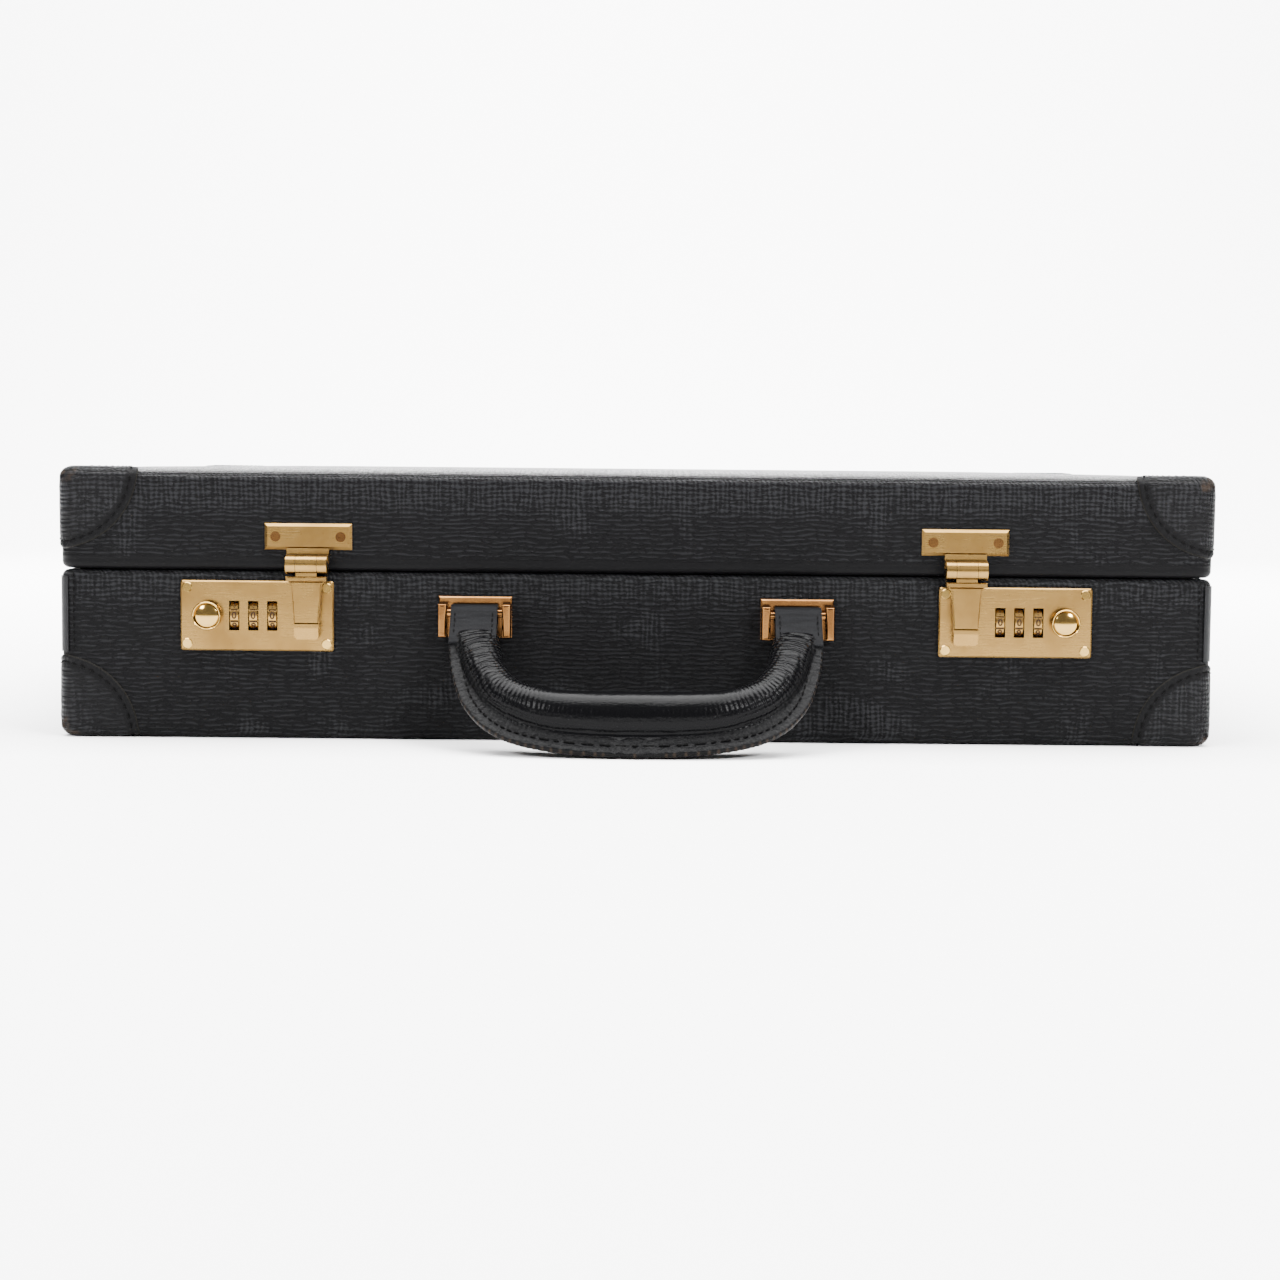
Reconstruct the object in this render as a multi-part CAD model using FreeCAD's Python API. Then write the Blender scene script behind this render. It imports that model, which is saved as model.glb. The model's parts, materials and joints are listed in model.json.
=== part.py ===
import FreeCAD, Part
import math
import os
from FreeCAD import Vector

# Leather attache case. Millimetres. The origin is the centre of the case's footprint on the
# surface it lies on. +X is to the right seen from the front, the front faces -Y, +Z is up.

# Driving dimensions -------------------------------------------------------------------
half_width = 219.0          # leather outside, each side of the middle
half_depth = 161.5
seam_z = 64.0               # the two halves meet here, and the lid turns about this height
lid_top_z = 102.0
seam_gap = 0.3              # each half stops this far from the seam
plan_radius = 8.0           # corners seen from above
edge_radius = 4.0           # long top and bottom edges
seam_radius = 2.5           # rolled edges beside the seam
leather = 1.2
board = 5.0                 # wooden walls of the base
lid_board = 4.6
panel_board = 4.0           # bottom and top boards
lining = 0.8
bottom_lift = 0.3           # the cover's edge stays this far above the bottom panel's face

patch_radius = 31.3
patch_proud = 1.0
strip_proud = 0.5
strip_reach = 3.5

rim_thick = 2.0             # metal frame that the lid closes over
rim_low_z = 46.0
rim_top_z = 70.0
lid_lining_z = 71.0

hinge_y = 164.1
hinge_x = 140.0
hinge_radius = 2.4
hinge_pin_radius = 1.2
knuckle = 8.0
knuckle_gap = 0.3
leaf_thick = 1.2
leaf_length = 14.0

plate_thick = 1.6
plate_in_x = 114.5
plate_out_x = 172.5
plate_top_z = 60.2
plate_low_z = 33.7
plate_mid_z = (plate_top_z + plate_low_z) / 2
lock_pin_inset = 2.6
lock_pin_radius = 1.95

case_in_x = 116.5
case_out_x = 170.5
case_low_z = 37.4
case_top_z = 56.5
case_depth = 14.0
case_wall = 1.0

dial_x = [152.1, 144.9, 137.7]
dial_y = -156.7
dial_radius = 6.8
dial_width = 3.4
dial_hub_radius = 3.0
dial_hub_width = 7.0
axle_radius = 1.5
running = 0.05              # radial clearance of everything that turns
digits = 10

knob_x = 162.1
knob_radius = 5.55
knob_travel = 3.5
stem_radius = 1.7
slide_thick = 1.2
slide_front_y = -161.3
slide_top_z = 55.1
slide_tab_z = 51.8          # low edge of the tab that the spring presses
spring_y = -158.1
spring_coil = 1.35
spring_wire = 0.28

hasp_x = 124.2
barrel_y = -166.2
barrel_z = 66.6
barrel_radius = 3.7
barrel_half = 7.75
hasp_pin_radius = 1.2
notch_half = 2.7
notch_low_z = 44.4
notch_back_y = -158.0
middle_half = 3.95          # the hasp's own knuckle, between the plate's two
middle_gap = 0.15
hasp_front_y = -168.2
hasp_proud = 0.7            # its bar and ridge stand this much further out
hasp_back_y = -163.5
hasp_bar_half = 7.65
hasp_bar_z = [-3.6, -1.8]   # heights on the hasp are measured from the seam
hasp_ridge_half = 4.8
hasp_ridge_z = [-21.2, -19.7]
hasp_tab_half = 4.55
hasp_tab_z = -25.6
hook_half = 2.3
hook_thick = 1.2
hook_low_z = 46.0

bracket_x = 60.9
bracket_top_z = 55.0
bracket_low_z = 39.5
bracket_half = 13.8
bracket_thick = 1.4
ear_in = 10.3
ear_out = 13.7
ear_front_y = -169.7
ear_top_z = 52.5
handle_y = -166.7
handle_z = 49.0
handle_pin_radius = 1.6
strap_half = 9.0
strap_radius = 3.3
strap_thick = 5.2
strap_end = 18.0
flange_thick = 2.6
handle_reach = 69.0

stay_back = 25.5            # lid pivot of the stay, forward of the hinge line
stay_up = 10.1              # and above it
stay_length = 130.0
stay_drop = 34.5            # slot pin below the hinge line when shut
stay_ratio = 0.077          # the stay turns this much of the lid's angle, the other way
lid_open = 95.0
stay_half = 4.0
stay_in_x = 209.3
stay_thick = 1.2
track_in_x = 210.8
track_half = 6.5
slot_half = 2.3
stud_radius = 2.0
stud_head = 3.4
stud_end_x = 213.5
stud_way_x = 213.9          # the channel behind the track
pivot_end_x = 216.0

foot_radius = 6.0
foot_height = 6.0
foot_x = 181.0
foot_z = [12.0, 50.0]

pocket_half_x = 190.0
pocket_half_y = 118.0
pocket_deep = 8.0
pocket_wall = 1.5

front_y = -half_depth
plate_front_y = front_y - plate_thick


# Shape helpers ------------------------------------------------------------------------
def box(x0, x1, y0, y1, z0, z1):
    low = Vector(min(x0, x1), min(y0, y1), min(z0, z1))
    return Part.makeBox(abs(x1 - x0), abs(y1 - y0), abs(z1 - z0), low)


def rod_x(x0, x1, y, z, radius):
    return Part.makeCylinder(radius, abs(x1 - x0), Vector(min(x0, x1), y, z), Vector(1, 0, 0))


def rod_y(y0, y1, x, z, radius):
    return Part.makeCylinder(radius, abs(y1 - y0), Vector(x, min(y0, y1), z), Vector(0, 1, 0))


def rod_z(z0, z1, x, y, radius):
    return Part.makeCylinder(radius, abs(z1 - z0), Vector(x, y, min(z0, z1)), Vector(0, 0, 1))


def join(shapes):
    return shapes[0].fuse(shapes[1:]).removeSplitter()


def without(shape, cutters):
    return shape.cut(cutters)


def other_side(shape):
    return shape.mirror(Vector(0, 0, 0), Vector(1, 0, 0))


def both_sides(shapes):
    return shapes + [other_side(shape) for shape in shapes]


def save(name, shape):
    solids = shape.Solids
    if not solids or not all(solid.isValid() for solid in solids):
        print("BAD SHAPE", name, len(solids))
    if len(solids) == 1:
        shape = solids[0]
    else:
        shape = Part.makeCompound(solids)
    shape.exportStep("parts/" + name + ".step")


def save_pair(name, shape):
    save(name + "_right", shape)
    save(name + "_left", other_side(shape))


def edges_at(shape, axis, value):
    """Edges that lie wholly at one height along an axis."""
    found = []
    for edge in shape.Edges:
        bounds = edge.BoundBox
        low = {"x": bounds.XMin, "y": bounds.YMin, "z": bounds.ZMin}[axis]
        high = {"x": bounds.XMax, "y": bounds.YMax, "z": bounds.ZMax}[axis]
        if abs(low - value) < 1e-4 and abs(high - value) < 1e-4:
            found.append(edge)
    return found


def block(inset, z_low, z_high, low_radius=0.0, high_radius=0.0):
    """A rounded block, smaller than the case's outside by the inset on every side."""
    half_x = half_width - inset
    half_y = half_depth - inset
    shape = box(-half_x, half_x, -half_y, half_y, z_low, z_high)
    upright = [edge for edge in shape.Edges if edge.BoundBox.ZLength > 1.0]
    shape = shape.makeFillet(max(plan_radius - inset, 1.0), upright)
    if low_radius > 0:
        shape = shape.makeFillet(low_radius, edges_at(shape, "z", z_low))
    if high_radius > 0:
        shape = shape.makeFillet(high_radius, edges_at(shape, "z", z_high))
    return shape


# Positions that follow from the dimensions --------------------------------------------
base_top = seam_z - seam_gap
lid_low = seam_z + seam_gap
base_inside = leather + board
lid_inside = leather + lid_board
base_floor = leather + panel_board
lid_ceiling = lid_top_z - leather - panel_board
stay_angle = math.asin((stay_up + stay_drop) / stay_length)


def stay_pivot(lid_angle):
    """Where the stay is pinned to the lid, at a lid angle."""
    back = -stay_back * math.cos(lid_angle) + stay_up * math.sin(lid_angle)
    up = stay_back * math.sin(lid_angle) + stay_up * math.cos(lid_angle)
    return hinge_y + back, seam_z + up


def stay_pin(lid_angle):
    """Where the stay's stud stands in the track, at a lid angle."""
    y, z = stay_pivot(lid_angle)
    angle = stay_angle + stay_ratio * lid_angle
    return y - stay_length * math.cos(angle), z - stay_length * math.sin(angle)


def track_strip(x0, x1, half, extra):
    """A strip along the stud's path, with round ends. Extra lengthens it at both ends."""
    count = 9
    points = [stay_pin(math.radians(lid_open) * n / (count - 1)) for n in range(count)]
    path = [Vector(0, y, z) for y, z in points]
    first = (path[0] - path[1]).normalize()
    last = (path[-1] - path[-2]).normalize()
    if extra > 0:
        path = [path[0] + first * extra] + path + [path[-1] + last * extra]
    upper = []
    lower = []
    for n, point in enumerate(path):
        ahead = path[min(n + 1, len(path) - 1)]
        behind = path[max(n - 1, 0)]
        along = (ahead - behind).normalize()
        across = Vector(0, -along.z, along.y)
        upper.append(point + across * half)
        lower.append(point - across * half)
    edges = []
    for side in (upper, lower):
        curve = Part.BSplineCurve()
        curve.interpolate(side)
        edges.append(curve.toShape())
    edges.insert(1, Part.Arc(upper[-1], path[-1] + last * half, lower[-1]).toShape())
    edges.append(Part.Arc(lower[0], path[0] + first * half, upper[0]).toShape())
    face = Part.Face(Part.Wire(Part.__sortEdges__(edges)))
    strip = face.extrude(Vector(x1 - x0, 0, 0))
    strip.translate(Vector(x0, 0, 0))
    return strip


# Base half ----------------------------------------------------------------------------
def lock_opening():
    """Space through the front wall for the lock case, and the notch for the hasp's hook."""
    case = box(case_in_x, case_out_x, front_y - 1, front_y + case_depth, case_low_z, case_top_z)
    notch = box(hasp_x - notch_half, hasp_x + notch_half, front_y - 5, notch_back_y,
                notch_low_z, seam_z + 2)
    return [case, notch]


def lock_pin_places():
    for x in (plate_in_x + lock_pin_inset, plate_out_x - lock_pin_inset):
        for z in (plate_top_z - lock_pin_inset, plate_low_z + lock_pin_inset):
            yield x, z


def lock_pins():
    pins = []
    for x, z in lock_pin_places():
        head = rod_y(plate_front_y - 0.3, front_y, x, z, lock_pin_radius)
        head = head.makeChamfer(0.25, edges_at(head, "y", plate_front_y - 0.3))
        shank = rod_y(front_y, front_y + 4.5, x, z, 1.0)
        pins.append(head.fuse(shank).removeSplitter())
    return pins


def bracket_rivets():
    """Four flush rivets hold each handle bracket to the front wall."""
    rivets = []
    for x in (bracket_x - 6.5, bracket_x + 6.5):
        for z in (bracket_low_z + 2.6, bracket_top_z - 2.6):
            head = rod_y(front_y - bracket_thick, front_y, x, z, 1.8)
            rivets.append(head.fuse(rod_y(front_y, front_y + 4.5, x, z, 1.2)).removeSplitter())
    return rivets


def leaf_rivets(direction):
    """Three domed rivets through one hinge leaf. Direction is -1 for the base, 1 for the lid."""
    rivets = []
    outside = half_depth + leaf_thick
    for x in (hinge_x - 14, hinge_x, hinge_x + 14):
        z = seam_z + direction * (leaf_length - 4.5)
        head = rod_y(outside, outside + 0.9, x, z, 2.4)
        head = head.makeFillet(0.7, edges_at(head, "y", outside + 0.9))
        shank = rod_y(half_depth - 4.0, outside, x, z, 1.2)
        rivets.append(head.fuse(shank).removeSplitter())
    return rivets


def feet():
    """Domed studs on the hinge side, which the case stands on when it is carried upright."""
    studs = []
    for z in foot_z:
        dome = rod_y(half_depth, half_depth + foot_height, foot_x, z, foot_radius)
        dome = dome.makeFillet(3.0, edges_at(dome, "y", half_depth + foot_height))
        shank = rod_y(half_depth - 4.5, half_depth, foot_x, z, 1.6)
        studs.append(dome.fuse(shank).removeSplitter())
    return studs


def track_rivets():
    rivets = []
    ends = (stay_pin(0.0), stay_pin(math.radians(lid_open)))
    nexts = (stay_pin(0.05), stay_pin(math.radians(lid_open) - 0.05))
    for (y, z), (near_y, near_z) in zip(ends, nexts):
        span = math.hypot(y - near_y, z - near_z)
        reach = 8.5 / span
        spot = (y + (y - near_y) * reach, z + (z - near_z) * reach)
        head = rod_x(track_in_x, track_in_x + stay_thick, spot[0], spot[1], 2.2)
        shank = rod_x(track_in_x + stay_thick, track_in_x + 5.2, spot[0], spot[1], 1.2)
        rivets.append(head.fuse(shank).removeSplitter())
    return rivets


def corner_patch(x_side, y_side, is_lid):
    """A moulded leather cap: a quarter disc on each of the three faces of a corner."""
    grown = -patch_proud
    if is_lid:
        top = lid_top_z + patch_proud
        outer = block(grown, lid_low + 0.2, top, 0, edge_radius + patch_proud)
        inner = block(0, lid_low - 5, lid_top_z, 0, edge_radius)
        corner_z = top
    else:
        low = bottom_lift / 2
        outer = block(grown, low, base_top - 0.2, edge_radius + patch_proud, 0)
        inner = block(0, leather, base_top + 5, edge_radius, 0)
        corner_z = low
    x = x_side * (half_width + patch_proud)
    y = y_side * (half_depth + patch_proud)
    shell = outer.cut(inner)
    reach = 40.0
    band = edge_radius + patch_proud + 0.5
    lobes = [
        rod_z(corner_z - reach, corner_z + reach, x, y, patch_radius).common(
            box(x - reach, x + reach, y - reach, y + reach, corner_z - band, corner_z + band)),
        rod_y(y - reach, y + reach, x, corner_z, patch_radius).common(
            box(x - reach, x + reach, y - band, y + band, corner_z - reach, corner_z + reach)),
        rod_x(x - reach, x + reach, y, corner_z, patch_radius).common(
            box(x - band, x + band, y - reach, y + reach, corner_z - reach, corner_z + reach)),
    ]
    pieces = [shell.common(lobe) for lobe in lobes]
    patch = join(pieces)
    return max(patch.Solids, key=lambda solid: solid.Volume)


def cap_columns():
    """Upright columns on the case's four corners, as wide as the caps."""
    return [
        rod_z(-1, leather + 1, x_side * (half_width + patch_proud),
              y_side * (half_depth + patch_proud), patch_radius)
        for x_side in (-1, 1) for y_side in (-1, 1)
    ]


def corner_strips():
    """Narrow leather strips over the four upright corners, between the caps and the seam."""
    outer = block(-strip_proud, patch_radius + 1.2, base_top - seam_radius)
    inner = block(0, 0, seam_z)
    side_y = half_depth - plan_radius - strip_reach
    strips = []
    for x_side in (-1, 1):
        for y_side in (-1, 1):
            corner = box(x_side * (half_width - strip_reach), x_side * (half_width + strip_reach),
                         y_side * side_y, y_side * (half_depth + strip_reach), 0, seam_z)
            strips += outer.cut(inner).common(corner).Solids
    return strips


def make_base():
    openings = both_sides(lock_opening())
    fixings = both_sides(lock_pins() + bracket_rivets() + leaf_rivets(-1) + feet())
    track_fixings = both_sides(track_rivets())
    track_back_x = track_in_x + stay_thick
    stud_ways = both_sides([track_strip(track_back_x, stud_way_x, stud_head + 0.6, 0)])
    patches = {}
    for x_name, x_side in (("left", -1), ("right", 1)):
        for y_name, y_side in (("front", -1), ("back", 1)):
            name = "base_corner_" + y_name + "_" + x_name
            patches[name] = corner_patch(x_side, y_side, False)
            save(name, patches[name])
    caps = list(patches.values())

    panel_half_x = half_width - 5.0
    panel_half_y = half_depth - 5.0
    panel = box(-panel_half_x, panel_half_x, -panel_half_y, panel_half_y, 0, leather)
    cover = block(0, bottom_lift, base_top, edge_radius, seam_radius)
    cover = cover.cut(block(leather, leather, base_top - leather, edge_radius - leather))
    cover = cover.cut(block(base_inside, seam_z - 10, seam_z + 1))
    cover = without(cover, [panel] + caps + openings + fixings)
    save("base_cover", cover)
    save("base_bottom_panel", without(panel, cap_columns()))

    shell = block(leather, leather, base_top - leather, edge_radius - leather)
    shell = shell.cut(block(base_inside, base_floor, seam_z))
    save("base_shell", without(shell, openings + fixings + track_fixings + stud_ways))

    pad = block(base_inside, base_floor, rim_low_z)
    pad = pad.cut(block(base_inside + lining, base_floor + lining, seam_z))
    save("base_lining", without(pad, openings + track_fixings + stud_ways))

    rim = block(base_inside, rim_low_z, rim_top_z)
    rim = rim.cut(block(base_inside + rim_thick, rim_low_z - 1, rim_top_z + 1))
    save("base_rim", without(rim, openings))
    save("corner_strips", Part.makeCompound(corner_strips()))
    save("back_feet", Part.makeCompound(both_sides(feet())))


# Hinges -------------------------------------------------------------------------------
def hinge_leaf(direction, turns):
    """One leaf with its knuckles. Turns lists which of the five knuckles belong to it."""
    far_z = seam_z + direction * leaf_length
    clear = hinge_radius + knuckle_gap
    plate = box(hinge_x - 20, hinge_x + 20, half_depth, half_depth + leaf_thick,
                seam_z + direction * clear, far_z)
    pieces = [plate]
    bore = hinge_pin_radius if direction < 0 else hinge_pin_radius + running
    for n in turns:
        start = hinge_x - 20 + n * knuckle + knuckle_gap / 2
        end = start + knuckle - knuckle_gap
        pieces.append(rod_x(start, end, hinge_y, seam_z, hinge_radius))
        pieces.append(box(start, end, half_depth, half_depth + leaf_thick, seam_z,
                          seam_z + direction * (clear + 0.5)))
    leaf = join(pieces)
    return leaf.cut(rod_x(hinge_x - 21, hinge_x + 21, hinge_y, seam_z, bore))


def make_hinges():
    base_leaf = without(hinge_leaf(-1, (0, 2, 4)), leaf_rivets(-1))
    lid_leaf = without(hinge_leaf(1, (1, 3)), leaf_rivets(1))
    save("base_hinge_leaves", Part.makeCompound(both_sides([base_leaf])))
    save("lid_hinge_leaves", Part.makeCompound(both_sides([lid_leaf])))
    pin = rod_x(hinge_x - 20, hinge_x + 20, hinge_y, seam_z, hinge_pin_radius)
    save("hinge_pins", Part.makeCompound(both_sides([pin])))
    save("base_hinge_rivets", Part.makeCompound(both_sides(leaf_rivets(-1))))
    save("lid_hinge_rivets", Part.makeCompound(both_sides(leaf_rivets(1))))


# Locks --------------------------------------------------------------------------------
def lock_plate():
    plate = box(plate_in_x, plate_out_x, plate_front_y, front_y, plate_low_z, plate_top_z)
    upright = [edge for edge in plate.Edges if edge.BoundBox.YLength > 1.0]
    plate = plate.makeFillet(1.0, upright)
    plate = plate.makeChamfer(0.5, edges_at(plate, "y", plate_front_y))
    window_half_x = 1.95
    window_half_z = 5.6
    windows = [
        box(x - window_half_x, x + window_half_x, plate_front_y - 1, front_y + 1,
            plate_mid_z - window_half_z, plate_mid_z + window_half_z)
        for x in dial_x
    ]
    slot = stem_radius + 0.3
    stem_way = [
        box(knob_x, knob_x + knob_travel, plate_front_y - 1, front_y + 1,
            plate_mid_z - slot, plate_mid_z + slot),
        rod_y(plate_front_y - 1, front_y + 1, knob_x, plate_mid_z, slot),
        rod_y(plate_front_y - 1, front_y + 1, knob_x + knob_travel, plate_mid_z, slot),
    ]
    notch = lock_opening()[1]
    return without(plate, windows + stem_way + [notch] + lock_pins())


def lock_case():
    back_y = front_y + case_depth
    outer = box(case_in_x, case_out_x, front_y, back_y, case_low_z, case_top_z)
    inner = box(case_in_x + case_wall, case_out_x - case_wall, front_y - 1, back_y - case_wall,
                case_low_z + case_wall, case_top_z - case_wall)
    axle = dial_axle()
    return without(outer, [inner, lock_opening()[1], axle])


def dial_axle():
    return rod_x(case_in_x, case_out_x, dial_y, plate_mid_z, axle_radius)


def dial(x):
    """A number wheel with a hub on each side and ten grooves between its figures."""
    half = dial_width / 2
    ring = rod_x(x - half, x + half, dial_y, plate_mid_z, dial_radius)
    ring = ring.makeChamfer(0.25, edges_at(ring, "x", x - half) + edges_at(ring, "x", x + half))
    hub = rod_x(x - dial_hub_width / 2, x + dial_hub_width / 2, dial_y, plate_mid_z,
                dial_hub_radius)
    grooves = []
    for n in range(digits):
        angle = 2 * math.pi * (n + 0.5) / digits
        y = dial_y + (dial_radius + 0.15) * math.cos(angle)
        z = plate_mid_z + (dial_radius + 0.15) * math.sin(angle)
        grooves.append(rod_x(x - half, x + half, y, z, 0.45))
    bore = rod_x(x - 5, x + 5, dial_y, plate_mid_z, axle_radius + running)
    return without(ring.fuse(hub).removeSplitter(), grooves + [bore])


def latch_slide():
    """Steel slide behind the plate, from the knob, under the dials, to the hasp's hook."""
    back_y = slide_front_y + slide_thick
    low_z = case_low_z + case_wall + 0.3
    nose_x = hasp_x + notch_half + 0.3
    knob_low_x = knob_x - 4.3
    knob_high_x = knob_x + 3.4
    bar = box(nose_x, knob_high_x, slide_front_y, back_y, low_z, low_z + 2.0)
    nose = box(nose_x, nose_x + 3.8, slide_front_y, back_y, low_z, low_z + 11.5)
    upright = box(knob_low_x, knob_high_x, slide_front_y, back_y, low_z, slide_top_z)
    tab = box(knob_low_x, knob_low_x + 1.0, slide_front_y, spring_y + 1.9, slide_tab_z, slide_top_z)
    shape = join([bar, nose, upright, tab])
    return shape.cut(knob_rivet())


def knob_rivet():
    return rod_y(slide_front_y, slide_front_y + slide_thick, knob_x, plate_mid_z, 1.4)


def button():
    """Round knob with its stem, riveted through the slide."""
    back_y = plate_front_y - 0.3
    front = back_y - 3.6
    cap = rod_y(front, back_y, knob_x, plate_mid_z, knob_radius)
    cap = cap.makeFillet(1.3, edges_at(cap, "y", front))
    stem = rod_y(back_y, slide_front_y, knob_x, plate_mid_z, stem_radius)
    return join([cap, stem, knob_rivet()])


def latch_spring():
    """Compression spring between the slide's tab and the end of the lock case."""
    start_x = knob_x - 3.0
    length = case_out_x - case_wall - start_x - 0.5
    helix = Part.makeHelix(length / 6.0, length, spring_coil)
    profile = Part.Wire(Part.makeCircle(spring_wire, Vector(spring_coil, 0, 0),
                                        Vector(0, 1, 0.2)))
    coil = Part.Wire(helix).makePipeShell([profile], True, True)
    coil.rotate(Vector(0, 0, 0), Vector(0, 1, 0), 90)
    coil.translate(Vector(start_x + 0.2, spring_y, (slide_tab_z + slide_top_z) / 2))
    return coil


def make_locks():
    save_pair("lock_plate", lock_plate())
    save("lock_cases", Part.makeCompound(both_sides([lock_case()])))
    save("dial_axles", Part.makeCompound(both_sides([dial_axle()])))
    save_pair("latch_slide", latch_slide())
    save_pair("latch_button", button())
    save("latch_springs", Part.makeCompound(both_sides([latch_spring()])))
    save("lock_pins", Part.makeCompound(both_sides(lock_pins())))
    for n, x in enumerate(dial_x):
        wheel = dial(x)
        save("dial_right_" + str(3 - n), wheel)
        save("dial_left_" + str(n + 1), other_side(wheel))


# Hasps --------------------------------------------------------------------------------
def hasp_plate_rivets():
    rivets = []
    z = seam_z + 13.0
    for x in (hasp_x - 12.3, hasp_x + 12.3):
        head = rod_y(plate_front_y - 0.1, front_y, x, z, 1.9)
        rivets.append(head.fuse(rod_y(front_y, front_y + 4.2, x, z, 1.0)).removeSplitter())
    return rivets


def hasp_plate():
    """T-shaped plate on the lid, whose neck carries the two outer knuckles."""
    low_z = seam_z + 8.1
    top_z = seam_z + 18.0
    bar = box(hasp_x - 16.5, hasp_x + 16.5, plate_front_y, front_y, low_z, top_z)
    bar = bar.makeChamfer(1.1, edges_at(bar, "y", plate_front_y))
    neck_half = barrel_half + 0.2
    neck = box(hasp_x - neck_half, hasp_x + neck_half, plate_front_y - 0.6, front_y,
               barrel_z + 0.6, low_z + 0.6)
    lip = box(hasp_x - neck_half, hasp_x + neck_half, barrel_y, plate_front_y, barrel_z + 1.4,
              barrel_z + barrel_radius)
    barrel = rod_x(hasp_x - barrel_half, hasp_x + barrel_half, barrel_y, barrel_z, barrel_radius)
    shape = join([bar, neck, lip, barrel])
    gap_half = middle_half + middle_gap
    middle = rod_x(hasp_x - gap_half, hasp_x + gap_half, barrel_y, barrel_z, barrel_radius + 0.3)
    front = box(hasp_x - gap_half, hasp_x + gap_half, barrel_y - 6, barrel_y, barrel_z - 5,
                barrel_z + 5)
    pin = rod_x(hasp_x - 20, hasp_x + 20, barrel_y, barrel_z, hasp_pin_radius)
    edge = box(hasp_x - 9, hasp_x + 9, front_y - 0.8, front_y + 1, seam_z - 3, barrel_z + 1.8)
    return without(shape, [middle, front, pin, edge] + hasp_plate_rivets())


def hasp_block(half, front, low, high):
    """A block on the hasp's middle line, with its heights measured from the seam."""
    return box(hasp_x - half, hasp_x + half, front, hasp_back_y, seam_z + low, seam_z + high)


def hasp_body():
    """The tapered body between the bar and the ridge."""
    bar_low = hasp_bar_z[0]
    body_low = hasp_ridge_z[1]
    half_outline = [(6.8, bar_low), (5.6, bar_low - 1.6), (hasp_ridge_half - 0.15, body_low)]
    right = [Vector(hasp_x + x, hasp_front_y, seam_z + z) for x, z in half_outline]
    left = [Vector(hasp_x - x, hasp_front_y, seam_z + z) for x, z in reversed(half_outline)]
    outline = Part.makePolygon(right + left + [right[0]])
    body = Part.Face(outline).extrude(Vector(0, hasp_back_y - hasp_front_y, 0))
    return body.makeChamfer(0.5, edges_at(body, "y", hasp_front_y))


def hasp():
    """Hanging hasp: middle knuckle, bright bar, tapered hollow body, ridge and finger tab."""
    proud_y = hasp_front_y - hasp_proud
    tab_front_y = hasp_front_y - 0.4
    ridge_low, ridge_high = hasp_ridge_z
    turning = rod_x(hasp_x - middle_half, hasp_x + middle_half, barrel_y, barrel_z,
                    barrel_radius)
    neck = hasp_block(middle_half, hasp_front_y, hasp_bar_z[0] + 0.6, 1.1)
    bar = hasp_block(hasp_bar_half, proud_y, *hasp_bar_z)
    bar = bar.makeChamfer(0.4, edges_at(bar, "y", proud_y))
    ridge = hasp_block(hasp_ridge_half, proud_y, ridge_low, ridge_high)
    tab = hasp_block(hasp_tab_half, tab_front_y, hasp_tab_z, ridge_low)
    corners = [edge for edge in edges_at(tab, "z", seam_z + hasp_tab_z)
               if edge.BoundBox.YLength > 1]
    tab = tab.makeChamfer(0.9, corners)
    slope = hasp_block(hasp_bar_half, tab_front_y - 6, ridge_low - 11, ridge_low)
    slope.translate(Vector(0, tab_front_y - hasp_back_y, 0))
    slope.rotate(Vector(hasp_x, tab_front_y, seam_z + ridge_low), Vector(1, 0, 0), 20)
    shape = join([turning, neck, bar, hasp_body(), ridge, tab]).cut(slope)
    hollow = hasp_block(3.3, hasp_front_y + 1.3, ridge_low + 0.3, hasp_bar_z[0] - 1.8)
    bore = rod_x(hasp_x - 5, hasp_x + 5, barrel_y, barrel_z, hasp_pin_radius + running)
    return without(shape, [hollow, bore])


def hasp_hook():
    """Steel hook inside the hasp, which reaches through the notch behind the plate."""
    low_x = hasp_x - hook_half
    high_x = hasp_x + hook_half
    start_y = hasp_front_y + 1.3
    end_y = notch_back_y - 1.0
    back = box(low_x, high_x, start_y, start_y + hook_thick, hook_low_z, 55.0)
    shelf = box(low_x, high_x, start_y, end_y, hook_low_z, hook_low_z + 1.5)
    lip = box(low_x, high_x, end_y - hook_thick, end_y, hook_low_z, hook_low_z + 4.5)
    return join([back, shelf, lip])


def make_hasps():
    save_pair("hasp_plate", hasp_plate())
    save_pair("hasp", hasp())
    save_pair("hasp_hook", hasp_hook())
    pin = rod_x(hasp_x - barrel_half, hasp_x + barrel_half, barrel_y, barrel_z, hasp_pin_radius)
    save("hasp_pins", Part.makeCompound(both_sides([pin])))
    save("hasp_plate_rivets", Part.makeCompound(both_sides(hasp_plate_rivets())))


# Handle -------------------------------------------------------------------------------
# The handle is drawn hanging straight down from its pins, then leaned outwards until the
# edge of its flange meets the surface that the case lies on.
tip = math.hypot(handle_reach, flange_thick / 2)
handle_lean = math.atan2(flange_thick / 2, handle_reach) + math.acos((handle_z - 0.1) / tip)

# Sections of the padded grip, from a pin to the middle: position across and down from the
# pins, half width in the handle's plane, half thickness, and the way the grip runs.
grip_sections = [
    (60.6, 10.8, 9.3, 3.4, 0),
    (58.2, 20.0, 8.4, 6.0, 8),
    (54.6, 31.5, 7.7, 7.4, 22),
    (46.6, 42.6, 8.0, 8.4, 50),
    (33.0, 48.6, 8.8, 9.1, 76),
    (16.5, 50.3, 9.3, 9.4, 87),
    (0.0, 50.5, 9.5, 9.5, 90),
]
flange_outline = [
    (69.8, 10.8), (69.4, 22.0), (67.0, 34.3), (63.4, 45.0), (57.0, 54.3), (48.4, 61.0),
    (37.8, 65.0), (25.8, 67.3), (11.3, 68.7), (0.0, 69.0),
]


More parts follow.
